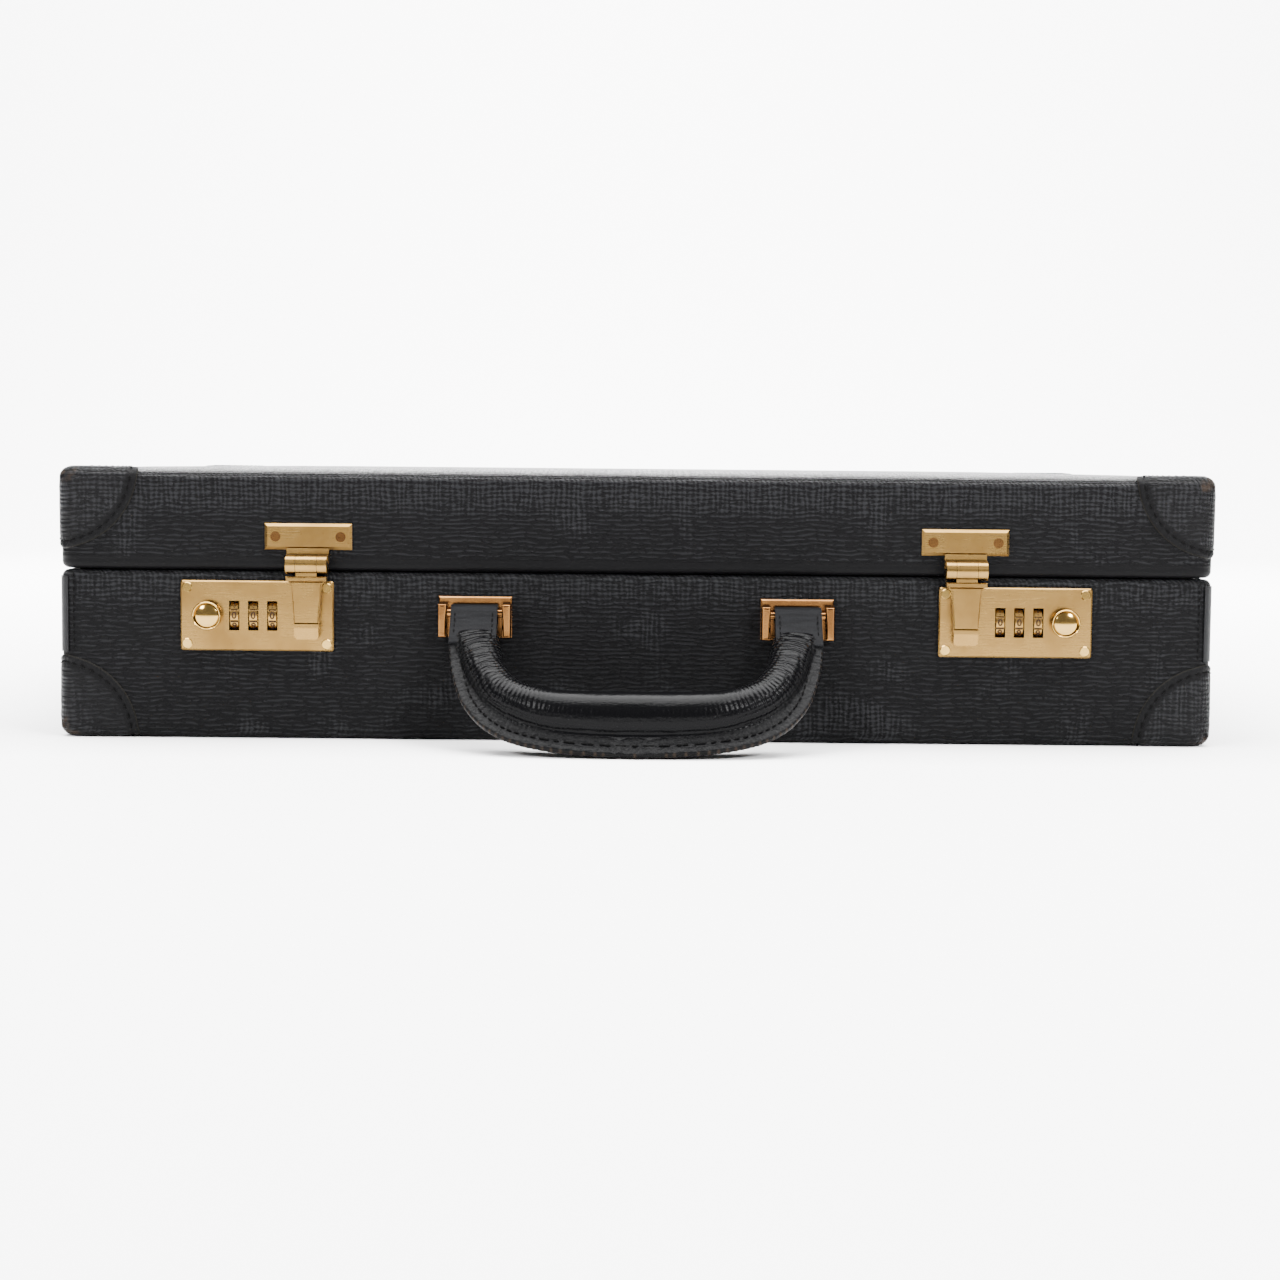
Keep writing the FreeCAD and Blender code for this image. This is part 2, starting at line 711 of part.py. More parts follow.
def lean(shape):
    shape.rotate(Vector(0, handle_y, handle_z), Vector(1, 0, 0), -math.degrees(handle_lean))
    return shape


def flat_curve(points):
    curve = Part.BSplineCurve()
    curve.interpolate([Vector(x, handle_y, handle_z - down) for x, down in points])
    return curve.toShape()


def with_mirror(points):
    return points + [(-x, down) for x, down in reversed(points[:-1])]


def handle_grip():
    mirrored = [(-x, down, half, thick, 180 - heading)
                for x, down, half, thick, heading in reversed(grip_sections[:-1])]
    rows = grip_sections + mirrored
    tube = Part.makeLoft([round_section(*row) for row in rows], True, False)
    outer = flat_curve(with_mirror(flange_outline))
    inner = flat_curve(with_mirror([(row[0], row[1]) for row in grip_sections]))
    ends = []
    for side in (1, -1):
        start = Vector(side * flange_outline[0][0], handle_y, handle_z - flange_outline[0][1])
        end = Vector(side * grip_sections[0][0], handle_y, handle_z - grip_sections[0][1])
        ends.append(Part.makeLine(start, end))
    face = Part.Face(Part.Wire(Part.__sortEdges__([outer, inner] + ends)))
    flange = face.extrude(Vector(0, flange_thick, 0))
    flange.translate(Vector(0, -flange_thick / 2, 0))
    return tube.fuse(flange)


def handle_core():
    """Flat steel band sealed in the grip, from one folded strap to the other."""
    half_band = 3.0
    band_thick = 2.0
    rows = [(59.0, strap_end, 9.3, 3.4, 4)] + grip_sections[1:]
    inside = []
    outside = []
    for across, down, _, _, heading in rows:
        angle = math.radians(heading)
        step_x = half_band * math.cos(angle)
        step_down = half_band * math.sin(angle)
        inside.append((across - step_x, down - step_down))
        outside.append((across + step_x, down + step_down))
    edges = [flat_curve(with_mirror(inside)), flat_curve(with_mirror(outside))]
    for side in (1, -1):
        low = Vector(side * inside[0][0], handle_y, handle_z - inside[0][1])
        high = Vector(side * outside[0][0], handle_y, handle_z - outside[0][1])
        edges.append(Part.makeLine(low, high))
    band = Part.Face(Part.Wire(Part.__sortEdges__(edges))).extrude(Vector(0, band_thick, 0))
    band.translate(Vector(0, -band_thick / 2, 0))
    return without(band, strap_cavities())


def strap_cavities():
    """The room that the two folded straps take in the ends of the grip."""
    return [box(side * (bracket_x - strap_half), side * (bracket_x + strap_half),
                handle_y - strap_thick / 2, handle_y + strap_thick / 2,
                handle_z - strap_end, handle_z) for side in (-1, 1)]


def round_section(across, down, half, thickness, heading):
    """The section as a closed curve through points that start at the outer side."""
    angle = math.radians(heading)
    centre = Vector(across, handle_y, handle_z - down)
    outward = Vector(math.cos(angle), 0, -math.sin(angle))
    count = 16
    points = []
    for n in range(count):
        turn = 2 * math.pi * n / count
        points.append(centre + outward * (half * math.cos(turn))
                      + Vector(0, thickness * math.sin(turn), 0))
    curve = Part.BSplineCurve()
    curve.interpolate(points, PeriodicFlag=True)
    return Part.Wire(curve.toShape())


def handle_loop():
    """Folded leather strap around one bracket pin, sewn into the end of the grip."""
    turn = rod_x(bracket_x - strap_half, bracket_x + strap_half, handle_y, handle_z,
                 strap_radius)
    strap = box(bracket_x - strap_half, bracket_x + strap_half, handle_y - strap_thick / 2,
                handle_y + strap_thick / 2, handle_z - strap_end, handle_z)
    bore = rod_x(bracket_x - 20, bracket_x + 20, handle_y, handle_z, handle_pin_radius + running)
    return join([turn, strap]).cut(bore)


def handle_bracket():
    plate = box(bracket_x - bracket_half, bracket_x + bracket_half, front_y - bracket_thick,
                front_y, bracket_low_z, bracket_top_z)
    plate = plate.makeChamfer(0.5, edges_at(plate, "y", front_y - bracket_thick))
    pieces = [plate]
    for side in (-1, 1):
        ear = box(bracket_x + side * ear_in, bracket_x + side * ear_out, ear_front_y,
                  front_y - bracket_thick + 0.2, bracket_low_z + 0.3, ear_top_z)
        ear = ear.makeFillet(1.0, edges_at(ear, "y", ear_front_y))
        pieces.append(ear)
    pin = rod_x(bracket_x - 20, bracket_x + 20, handle_y, handle_z, handle_pin_radius)
    return without(join(pieces), [pin] + bracket_rivets())


def make_handle():
    loops = both_sides([handle_loop()])
    core = handle_core()
    grip = without(handle_grip(), strap_cavities() + [core])
    grip = max(grip.Solids, key=lambda solid: solid.Volume)
    save("handle_grip", lean(grip))
    save("handle_core", lean(core))
    save("handle_loop_right", lean(loops[0]))
    save("handle_loop_left", lean(loops[1]))
    save("handle_brackets", Part.makeCompound(both_sides([handle_bracket()])))
    pin = rod_x(bracket_x - ear_out, bracket_x + ear_out, handle_y, handle_z, handle_pin_radius)
    save("handle_pins", Part.makeCompound(both_sides([pin])))
    save("bracket_rivets", Part.makeCompound(both_sides(bracket_rivets())))


# Lid half -----------------------------------------------------------------------------
def lid_stay_pivot():
    """Shouldered rivet that holds a stay to the lid's side wall."""
    y, z = stay_pivot(0.0)
    arm_out_x = stay_in_x + stay_thick
    shank = rod_x(stay_in_x - 1.0, pivot_end_x, y, z, stud_radius)
    spacer = rod_x(arm_out_x + 0.2, half_width - lid_inside - lining, y, z, 3.6)
    head = rod_x(stay_in_x - 1.2, stay_in_x - 0.2, y, z, 3.6)
    return join([shank, spacer, head])


def make_lid():
    patches = {}
    for x_name, x_side in (("left", -1), ("right", 1)):
        for y_name, y_side in (("front", -1), ("back", 1)):
            name = "lid_corner_" + y_name + "_" + x_name
            patches[name] = corner_patch(x_side, y_side, True)
            save(name, patches[name])
    fixings = both_sides(hasp_plate_rivets() + leaf_rivets(1))
    pivots = both_sides([lid_stay_pivot()])
    notches = both_sides([lock_opening()[1]])

    cover = block(0, lid_low, lid_top_z, seam_radius, edge_radius)
    cover = cover.cut(block(leather, lid_low + leather, lid_top_z - leather, 0,
                            edge_radius - leather))
    cover = cover.cut(block(lid_inside, seam_z - 1, seam_z + 10))
    save("lid_cover", without(cover, fixings + notches))

    shell = block(leather, lid_low + leather, lid_top_z - leather, 0, edge_radius - leather)
    shell = shell.cut(block(lid_inside, seam_z, lid_ceiling))
    save("lid_shell", without(shell, fixings + pivots + notches))

    pad = block(lid_inside, lid_lining_z, lid_ceiling)
    pad = pad.cut(block(lid_inside + lining, lid_lining_z - 1, lid_ceiling - lining))
    save("lid_lining", without(pad, pivots))
    save("stay_pivots", Part.makeCompound(pivots))
    save("lid_pocket", lid_pocket())


def lid_pocket():
    """Document pocket on the lid's ceiling: a stiff leather face on a strip at each closed
    side, open to the front."""
    ceiling = lid_ceiling - lining
    low_z = ceiling - pocket_deep
    face_z = low_z + pocket_wall
    in_x = pocket_half_x - pocket_wall
    in_y = pocket_half_y - pocket_wall
    face = box(-pocket_half_x, pocket_half_x, -pocket_half_y, pocket_half_y, low_z, face_z)
    side = box(in_x, pocket_half_x, -pocket_half_y, pocket_half_y, face_z, ceiling)
    back = box(-in_x, in_x, in_y, pocket_half_y, face_z, ceiling)
    return Part.makeCompound([face, side, other_side(side), back])


# Stays --------------------------------------------------------------------------------
def stay_arm():
    """Flat arm between the lid and the track, with the headed stud that runs in the slot."""
    pivot_y, pivot_z = stay_pivot(0.0)
    pin_y, pin_z = stay_pin(0.0)
    out_x = stay_in_x + stay_thick
    head_x = track_in_x + stay_thick + 0.2
    across = Vector(0, pivot_z - pin_z, pin_y - pivot_y).normalize() * stay_half
    start = Vector(stay_in_x, pivot_y, pivot_z)
    end = Vector(stay_in_x, pin_y, pin_z)
    corners = [start + across, end + across, end - across, start - across, start + across]
    bar = Part.Face(Part.makePolygon(corners)).extrude(Vector(stay_thick, 0, 0))
    pieces = [
        bar,
        rod_x(stay_in_x, out_x, pivot_y, pivot_z, stay_half),
        rod_x(stay_in_x, out_x, pin_y, pin_z, stay_half),
        rod_x(out_x - 0.1, head_x, pin_y, pin_z, stud_radius),
        rod_x(head_x, stud_end_x, pin_y, pin_z, stud_head),
    ]
    bore = rod_x(stay_in_x - 1, pivot_end_x, pivot_y, pivot_z, stud_radius + running)
    return join(pieces).cut(bore)


def make_stays():
    save_pair("stay_arm", stay_arm())
    track = track_strip(track_in_x, track_in_x + stay_thick, track_half, 8.0)
    slot = track_strip(track_in_x - 1, track_in_x + stay_thick + 1, slot_half, 0)
    track = without(track, [slot] + track_rivets())
    save("stay_tracks", Part.makeCompound(both_sides([track])))
    save("track_rivets", Part.makeCompound(both_sides(track_rivets())))


os.makedirs("parts", exist_ok=True)
make_base()
make_hinges()
make_locks()
make_hasps()
make_handle()
make_lid()
make_stays()
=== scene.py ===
import json
import math
import random

import bmesh
import bpy
from mathutils import Matrix, Vector


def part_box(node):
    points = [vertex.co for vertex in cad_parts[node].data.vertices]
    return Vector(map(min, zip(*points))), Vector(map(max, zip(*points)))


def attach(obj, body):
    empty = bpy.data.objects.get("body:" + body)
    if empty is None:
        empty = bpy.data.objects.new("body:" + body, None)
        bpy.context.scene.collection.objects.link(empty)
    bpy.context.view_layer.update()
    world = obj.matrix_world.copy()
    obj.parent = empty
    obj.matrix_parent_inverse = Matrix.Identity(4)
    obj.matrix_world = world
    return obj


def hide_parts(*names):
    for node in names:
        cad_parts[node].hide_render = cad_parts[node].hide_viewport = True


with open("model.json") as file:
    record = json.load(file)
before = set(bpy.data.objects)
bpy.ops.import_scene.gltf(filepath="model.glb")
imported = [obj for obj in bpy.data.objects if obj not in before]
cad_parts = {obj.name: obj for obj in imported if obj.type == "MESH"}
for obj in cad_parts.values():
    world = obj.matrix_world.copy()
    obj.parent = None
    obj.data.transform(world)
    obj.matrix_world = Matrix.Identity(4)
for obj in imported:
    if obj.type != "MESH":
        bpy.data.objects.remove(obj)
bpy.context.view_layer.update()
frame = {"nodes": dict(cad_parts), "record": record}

nodes = frame["nodes"]
mm = 0.001


# The studio: a camera at table height just above the lid, and a white sweep behind the case.
# One broad light hangs over the case. The room in front of it is dim.
def point_at(thing, target, roll=0.0):
    away = (thing.location - Vector(target)).to_track_quat("Z", "Y")
    thing.rotation_euler = (away @ Matrix.Rotation(roll, 3, "Z").to_quaternion()).to_euler()


front_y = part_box("base_cover")[0].y
camera_away = 0.901
camera_height = 0.1055
camera_pitch = math.radians(4.22)
camera_roll = math.radians(0.54)
camera_right = 1.5 * mm
camera_lens = 67.0
camera_data = bpy.data.cameras.new("camera")
camera_data.sensor_width = 36
camera_data.lens = camera_lens
camera_data.clip_start = 0.05
camera = bpy.data.objects.new("camera", camera_data)
camera.location = (camera_right, front_y - camera_away, camera_height)
ahead = Vector((0, math.cos(camera_pitch), -math.sin(camera_pitch)))
point_at(camera, camera.location + ahead, camera_roll)
bpy.context.scene.collection.objects.link(camera)
bpy.context.scene.camera = camera


def area_light(name, place, target, width, depth, power):
    data = bpy.data.lights.new(name, "AREA")
    data.shape = "RECTANGLE"
    data.size = width
    data.size_y = depth
    data.energy = power
    light = bpy.data.objects.new(name, data)
    light.location = place
    bpy.context.scene.collection.objects.link(light)
    point_at(light, target)


area_light("overhead", (0.0, 0.05, 1.6), (0, 0.05, 0), 2.6, 1.6, 290)
area_light("behind", (0.0, 0.9, 1.3), (0, 1.9, 0.5), 3.0, 0.6, 260)
area_light("front_left", (-0.9, -1.3, 0.9), (0, 0, 0.05), 0.35, 0.35, 30)
area_light("front_right", (0.9, -1.3, 0.9), (0, 0, 0.05), 0.35, 0.35, 45)

world = bpy.data.worlds.new("studio")
world.use_nodes = True
world.node_tree.nodes["Background"].inputs["Color"].default_value = (0.95, 0.96, 1.0, 1)
world.node_tree.nodes["Background"].inputs["Strength"].default_value = 0.5
bpy.context.scene.world = world


class Number:
    """One varying number of a finish. Sums on it add Math nodes to that finish."""

    def __init__(self, finish, socket):
        self.finish = finish
        self.socket = socket

    def sum(self, operation, first, second=0.0):
        return self.finish.add("ShaderNodeMath", {"operation": operation}, {0: first, 1: second})

    def __add__(self, other):
        return self.sum("ADD", self, other)

    def __sub__(self, other):
        return self.sum("SUBTRACT", self, other)

    def __rsub__(self, other):
        return self.sum("SUBTRACT", other, self)

    def __mul__(self, other):
        return self.sum("MULTIPLY", self, other)

    def __gt__(self, other):
        return self.sum("GREATER_THAN", self, other)

    def __lt__(self, other):
        return self.sum("LESS_THAN", self, other)

    def __abs__(self):
        return self.sum("ABSOLUTE", self)

    def sine(self):
        return self.sum("SINE", self)

    def highest(self, other):
        return self.sum("MAXIMUM", self, other)

    __radd__ = __add__
    __rmul__ = __mul__


class Finish:
    """A material under construction, with a Principled shader at its end."""

    def __init__(self, name, roughness=0.5, metallic=0.0, specular=0.5, sheen=0.0):
        self.material = bpy.data.materials.new(name)
        self.material.use_nodes = True
        self.nodes = self.material.node_tree.nodes
        self.links = self.material.node_tree.links
        self.shader = self.nodes["Principled BSDF"]
        self.shader.inputs["Roughness"].default_value = roughness
        self.shader.inputs["Metallic"].default_value = metallic
        self.shader.inputs["Specular IOR Level"].default_value = specular
        self.shader.inputs["Sheen Weight"].default_value = sheen

    def add(self, kind, settings, sockets, out=0):
        """A node of one kind: its settings first, then values or links for its sockets."""
        node = self.nodes.new(kind)
        for key, value in settings.items():
            setattr(node, key, value)
        for key, value in sockets.items():
            self.join(node.inputs[key], value)
        return Number(self, node.outputs[out])

    def join(self, socket, value):
        if isinstance(value, Number):
            self.links.new(value.socket, socket)
        elif isinstance(value, tuple) and socket.type == "RGBA":
            socket.default_value = (*value, 1.0)
        else:
            socket.default_value = value

    def place(self):
        """The object coordinates, as a vector and as its three numbers."""
        where = self.add("ShaderNodeTexCoord", {}, {}, "Object")
        split = self.add("ShaderNodeSeparateXYZ", {}, {0: where}).socket.node
        return where, [Number(self, split.outputs[n]) for n in range(3)]

    def attribute(self, name):
        return self.add("ShaderNodeAttribute", {"attribute_name": name}, {}, "Fac")

    def noise(self, where, scale=1.0, detail=3.0, distortion=0.0):
        return self.add("ShaderNodeTexNoise", {}, {
            "Vector": where, "Scale": scale, "Detail": detail, "Distortion": distortion})

    def vector(self, x, y, z):
        return self.add("ShaderNodeCombineXYZ", {}, {0: x, 1: y, 2: z})

    def mix(self, factor, first, second):
        """A colour between two colours."""
        node = self.add("ShaderNodeMix", {"data_type": "RGBA"}, {0: factor}).socket.node
        self.join(node.inputs[6], first)
        self.join(node.inputs[7], second)
        return Number(self, node.outputs[2])

    def step(self, value, low, high):
        """0 below low, 1 above high, smooth between."""
        return self.add("ShaderNodeMapRange", {"interpolation_type": "SMOOTHSTEP"}, {
            0: value, 1: low, 2: high, 3: 0.0, 4: 1.0})

    def bump(self, height, distance):
        node = self.add("ShaderNodeBump", {}, {"Height": height, "Distance": distance})
        self.join(self.shader.inputs["Normal"], node)

    def dress(self, **sockets):
        """Joins numbers to the shader's own sockets, and gives the material."""
        for key, value in sockets.items():
            self.join(self.shader.inputs[key.replace("_", " ")], value)
        return self.material


def wear(thing, material):
    """Gives a thing one material in place of any that it had."""
    thing.data.materials.clear()
    thing.data.materials.append(material)


def clear():
    """Leaves edit mode and deselects everything."""
    if bpy.context.object and bpy.context.object.mode != "OBJECT":
        bpy.ops.object.mode_set(mode="OBJECT")
    bpy.ops.object.select_all(action="DESELECT")


def add_box(name, low, high):
    """A box between two corners, at the origin, with its place in its mesh."""
    clear()
    low, high = Vector(low), Vector(high)
    bpy.ops.mesh.primitive_cube_add(size=1, location=(low + high) / 2, scale=high - low)
    bpy.context.object.name = name
    bpy.ops.object.transform_apply(location=True, rotation=True, scale=True)
    return bpy.context.object


def pick(kind, test):
    """Goes into edit mode and selects the verts, edges or faces that pass a test."""
    thing = bpy.context.object
    if thing.mode != "EDIT":
        bpy.ops.object.mode_set(mode="EDIT")
    bpy.ops.mesh.select_mode(type={"verts": "VERT", "edges": "EDGE", "faces": "FACE"}[kind])
    bpy.ops.mesh.select_all(action="DESELECT")
    shape = bmesh.from_edit_mesh(thing.data)
    for part in getattr(shape, kind):
        part.select_set(test(part))
    bmesh.update_edit_mesh(thing.data)


def done():
    """Leaves edit mode and gives the piece that was edited."""
    bpy.ops.object.mode_set(mode="OBJECT")
    return bpy.context.object


floor_finish = Finish("studio_floor", roughness=0.8, specular=0.1)
where, _ = floor_finish.place()
drift = floor_finish.noise(where, 0.8)
floor_white = floor_finish.mix(drift, (0.93, 0.92, 0.92), (0.96, 0.96, 0.96))
floor_half, floor_near, floor_far = 3, -0.86, 1.7
sweep_radius, sweep_rise = 0.8, 2.4
floor = add_box("studio_sweep", (-floor_half, floor_near, -0.01), (floor_half, floor_far, 0))
pick("faces", lambda face: face.normal.y > 0.9)
bpy.ops.mesh.spin(steps=16, angle=math.radians(-90), center=(0, floor_far, sweep_radius),
                  axis=(1, 0, 0))
bpy.ops.mesh.extrude_region_move(TRANSFORM_OT_translate={"value": (0, 0, sweep_rise)})
done()
bpy.ops.object.shade_smooth_by_angle(angle=math.radians(30))
wear(floor, floor_finish.dress(Base_Color=floor_white))


# The two halves are wooden trays covered with one black hide. It is pressed with a fine wavy
# grain that runs along each wall, crossed by faint upright lines near the edges. The hide of
# the base is the frame's own, cut out for the locks.
grain_depth = 0.34 * mm
ridge_pitch = 1.75 * mm
upright_pitch = 2.0 * mm


def hide(finish, along, across, blotch, square=0.0, calm=0.0):
    """The height of the pressed grain, and where its ridge tops are, which the callers paint
    lighter as a painted highlight. Along and across are distances over the surface, in metres."""
    wander = finish.noise(finish.vector(along * 70, 0.0, across * 150), 1.0, 2.0)
    waves = (across * (2 * math.pi / ridge_pitch) + wander * 13.0).sine() * 0.5 + 0.5
    thread = finish.noise(finish.vector(along * 150, 0.0, across * 700), 1.0, 2.0)
    folds = finish.step(abs(thread - 0.5), 0.0, 0.06)
    sway = finish.noise(finish.vector(along * 220, 0.0, across * 60), 1.0, 2.0)
    upright = (along * (2 * math.pi / upright_pitch) + sway * 12.0).sine() * 0.5 + 0.5
    crossed = finish.step(blotch, 0.52, 0.70).highest(square)
    pores = finish.noise(finish.vector(along * 2300, 0.0, across * 2300), 1.0, 1.0)
    height = waves * 0.5 + folds * 0.5 + upright * crossed * 0.55 + pores * 0.15
    height = height * (1 - calm)
    return height, finish.step(height, 0.70, 1.35)


# The blacks of the leather. The lighter one is a painted highlight on ridge and fold tops, and
# elsewhere it is rubbed wear.
black = (0.0017, 0.0017, 0.0019)
worn_and_highlit_black = (0.0085, 0.0087, 0.0095)


def base_hide(name, low_z):
    """The hide of the base. Its grain is square near the rolled edge, and runs flat below low_z."""
    finish = Finish(name, specular=0.045)
    where, (x, y, z) = finish.place()
    flat = z < low_z
    blotch = finish.noise(where, 38.0, 2.0)
    square = finish.step(z, 46 * mm, 60 * mm) * 0.8
    height, lit_tops = hide(finish, x + y * (1 - flat), z + flat * y, blotch, square=square)
    finish.bump(height, grain_depth)
    # The ridge tops are painted lighter: a painted highlight where the grain catches the light.
    colour = finish.mix(lit_tops, black, worn_and_highlit_black)
    return finish.dress(Base_Color=colour, Roughness=0.56 - lit_tops * 0.16 + blotch * 0.08)


wear(nodes["base_cover"], base_hide("base_hide", 1 * mm))
wear(nodes["base_bottom_panel"], base_hide("bottom_hide", 5 * mm))

smooth_finish = Finish("smooth_leather", specular=0.06)
where, _ = smooth_finish.place()
pores = smooth_finish.noise(where, 1900.0, 2.0)
rubbed = smooth_finish.noise(where, 120.0, 3.0)
smooth_finish.bump(pores + rubbed * 0.6, 0.08 * mm)
smooth_leather = smooth_finish.dress(
    Base_Color=smooth_finish.mix(rubbed, black, worn_and_highlit_black), Roughness=0.36 + rubbed * 0.2)
wear(nodes["corner_strips"], smooth_leather)


# Caps of thick leather are moulded over the eight corners. Each is a quarter disc on each of
# three faces, with a sewn groove inside its edge. One is shaped here, and the rest are
# its mirror images.
def middle(part):
    """The middle of an edge or a face."""
    return sum((vert.co for vert in part.verts), Vector()) / len(part.verts)


def chain(name, points):
    """A line of edges from point to point, in edit mode, ready to be spun or extruded."""
    clear()
    bpy.ops.mesh.primitive_plane_add(size=mm, location=points[0])
    bpy.context.object.name = name
    bpy.ops.object.transform_apply(location=True, rotation=True, scale=True)
    bpy.ops.object.mode_set(mode="EDIT")
    bpy.ops.mesh.select_mode(type="VERT")
    bpy.ops.mesh.select_all(action="SELECT")
    bpy.ops.mesh.merge(type="CENTER")
    for before, after in zip(points, points[1:]):
        step = Vector(after) - Vector(before)
        bpy.ops.mesh.extrude_region_move(TRANSFORM_OT_translate={"value": step})
    bpy.ops.mesh.select_all(action="SELECT")
    return bpy.context.object


def merge_doubles():
    """Merges the places where a spun shape meets itself."""
    bpy.ops.mesh.select_all(action="SELECT")
    bpy.ops.mesh.remove_doubles(threshold=0.02 * mm)


def choose(thing):
    """Makes a thing the only one that is selected, and active."""
    clear()
    bpy.context.view_layer.objects.active = thing
    thing.select_set(True)


def finish_with(thing, kind, **settings):
    """Adds a modifier to a thing and applies it."""
    choose(thing)
    modifier = thing.modifiers.new(kind.lower(), kind)
    for key, value in settings.items():
        setattr(modifier, key, value)
    bpy.ops.object.modifier_apply(modifier=modifier.name)


def smooth(thing, angle):
    """Shades a thing smooth but for its edges sharper than an angle."""
    choose(thing)
    bpy.ops.object.shade_smooth_by_angle(angle=math.radians(angle))


def mirrored(thing, name, x=1, y=1, z=1, up=0.0, out_from=None):
    """A copy with its own mesh, turned over in the origin's planes, then lifted."""
    copy = thing.copy()
    copy.data = thing.data.copy()
    copy.name = name
    bpy.context.scene.collection.objects.link(copy)
    choose(copy)
    copy.scale = (x, y, z)
    copy.location.z = up
    bpy.ops.object.transform_apply(location=True, rotation=True, scale=True)
    face_out(copy, out_from)
    return copy


inside_case = Vector((0, 0, 50 * mm))


def face_out(thing, out_from=None):
    """Turns the faces over if most of them look towards a point inside."""
    inner = out_from or inside_case
    facing = sum(face.normal.dot(face.center - inner) * face.area
                 for face in thing.data.polygons)
    if facing < 0:
        bpy.context.view_layer.objects.active = thing
        bpy.ops.object.mode_set(mode="EDIT")
        bpy.ops.mesh.select_all(action="SELECT")
        bpy.ops.mesh.flip_normals()
        bpy.ops.object.mode_set(mode="OBJECT")


cap_low, cap_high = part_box("lid_corner_front_right")
tip = Vector((cap_high.x, cap_low.y, cap_high.z))
cap_radius = 31.3
groove = 28.6
cap_thick = 0.95 * mm
form_size = 80
corner_round, edge_round = 9, 5
form = add_box("corner_form", tip + Vector((-form_size, 0, -form_size)) * mm,
               tip + Vector((0, form_size, 0)) * mm)
pick("edges", lambda edge: all((vert.co - tip).xy.length < mm for vert in edge.verts))
bpy.ops.mesh.bevel(offset=corner_round * mm, segments=12, affect="EDGES")


def on_front_or_side(edge):
    """Whether an edge runs along the front, the right side or the round corner between."""
    in_from_tip = (tip.x - middle(edge).x) / mm
    back_from_tip = (middle(edge).y - tip.y) / mm
    near_walls = in_from_tip < corner_round + 0.1 or back_from_tip < 1
    return near_walls and max(in_from_tip, back_from_tip) < form_size - 1


pick("edges", lambda edge: on_front_or_side(edge) and all(
    vert.co.z > tip.z - mm and (vert.co.x > tip.x - (corner_round + 0.1) * mm
                                or vert.co.y < tip.y + (corner_round + 0.1) * mm)
    for vert in edge.verts))
bpy.ops.mesh.bevel(offset=edge_round * mm, segments=10, affect="EDGES")
done()

rings = [0, 3, 6.5, 10.5, 14.5, 18, 21.5, 24.5, 26.8, 27.8, groove, 29.4, 30.2, 30.9, cap_radius]
cap = chain("corner_cap", [tip + Vector((-r * mm, 0, 0)) for r in rings])
quarter = math.radians(90)
cap_steps = 30
for turn, axis in ((quarter, (0, 0, 1)), (quarter, (1, 0, 0)), (-quarter, (0, 1, 0))):
    bpy.ops.mesh.spin(steps=cap_steps, angle=turn, center=tip, axis=axis)
merge_doubles()
done()
face_out(cap)
reach = cap.data.attributes.new("reach", "FLOAT", "POINT")
for vert in cap.data.vertices:
    reach.data[vert.index].value = (vert.co - tip).length / (cap_radius * mm)
finish_with(cap, "SHRINKWRAP", target=form, wrap_method="NEAREST_SURFACEPOINT")

# Each ring of the cap is sunk or puffed out, and crinkled more in the rim outside the seam.
random.seed(4)
sunk = {groove: 0.40, 27.8: 0.10, 29.4: 0.12, 30.9: 0.14, cap_radius: 0.65}
puffed, pressed = 0.25, 0.15
rim_starts, rim_crinkle, face_crinkle = 26, 0.09, 0.04
normals = [vert.normal.copy() for vert in cap.data.vertices]
for vert, normal in zip(cap.data.vertices, normals):
    part = cap.data.attributes["reach"].data[vert.index].value
    radius = part * cap_radius
    drop = sum(depth for ring, depth in sunk.items() if abs(ring - radius) < 0.05)
    puff = puffed * max(0.0, 1 - part * part) - pressed
    crinkled = rim_crinkle if radius > rim_starts else face_crinkle
    crinkle = random.uniform(-crinkled, crinkled)
    vert.co += normal * (puff + crinkle - drop) * mm


# The thread that holds a cap lies in its groove. Each stitch is one small bead of waxed thread,
# shaped once and copied along the seam.
def outward_normals(thing):
    """Turns the faces of a closed piece outwards."""
    choose(thing)
    bpy.ops.object.mode_set(mode="EDIT")
    bpy.ops.mesh.select_all(action="SELECT")
    bpy.ops.mesh.normals_make_consistent(inside=False)
    done()


def sew(name, stations, length, thick, high=0.8):
    """One stitch at each station, which is a place, the way the seam runs and the way up."""
    clear()
    bpy.ops.mesh.primitive_uv_sphere_add(segments=8, ring_count=5, radius=0.5)
    stitch = bpy.context.object
    stitch.scale = (thick, thick * high, length)
    bpy.ops.object.transform_apply(location=True, rotation=True, scale=True)
    turned = Matrix(((0, 0, 1), (1, 0, 0), (0, 1, 0))).to_4x4()
    copies = []
    for place, along, up in stations:
        along, up = Vector(along).normalized(), Vector(up).normalized()
        side = up.cross(along).normalized()
        up = along.cross(side)
        frame_of = Matrix((along, side, up)).transposed().to_4x4()
        copy = stitch.copy()
        copy.data = stitch.data.copy()
        bpy.context.scene.collection.objects.link(copy)
        copy.matrix_world = Matrix.Translation(place) @ frame_of @ turned
        copies.append(copy)
    bpy.data.objects.remove(stitch)
    bpy.context.view_layer.update()
    for copy in copies:
        copy.select_set(True)
    bpy.context.view_layer.objects.active = copies[0]
    bpy.ops.object.join()
    bpy.ops.object.transform_apply(location=True, rotation=True, scale=True)
    seam = bpy.context.object
    seam.name = name
    outward_normals(seam)
    bpy.ops.object.shade_smooth()
    return seam


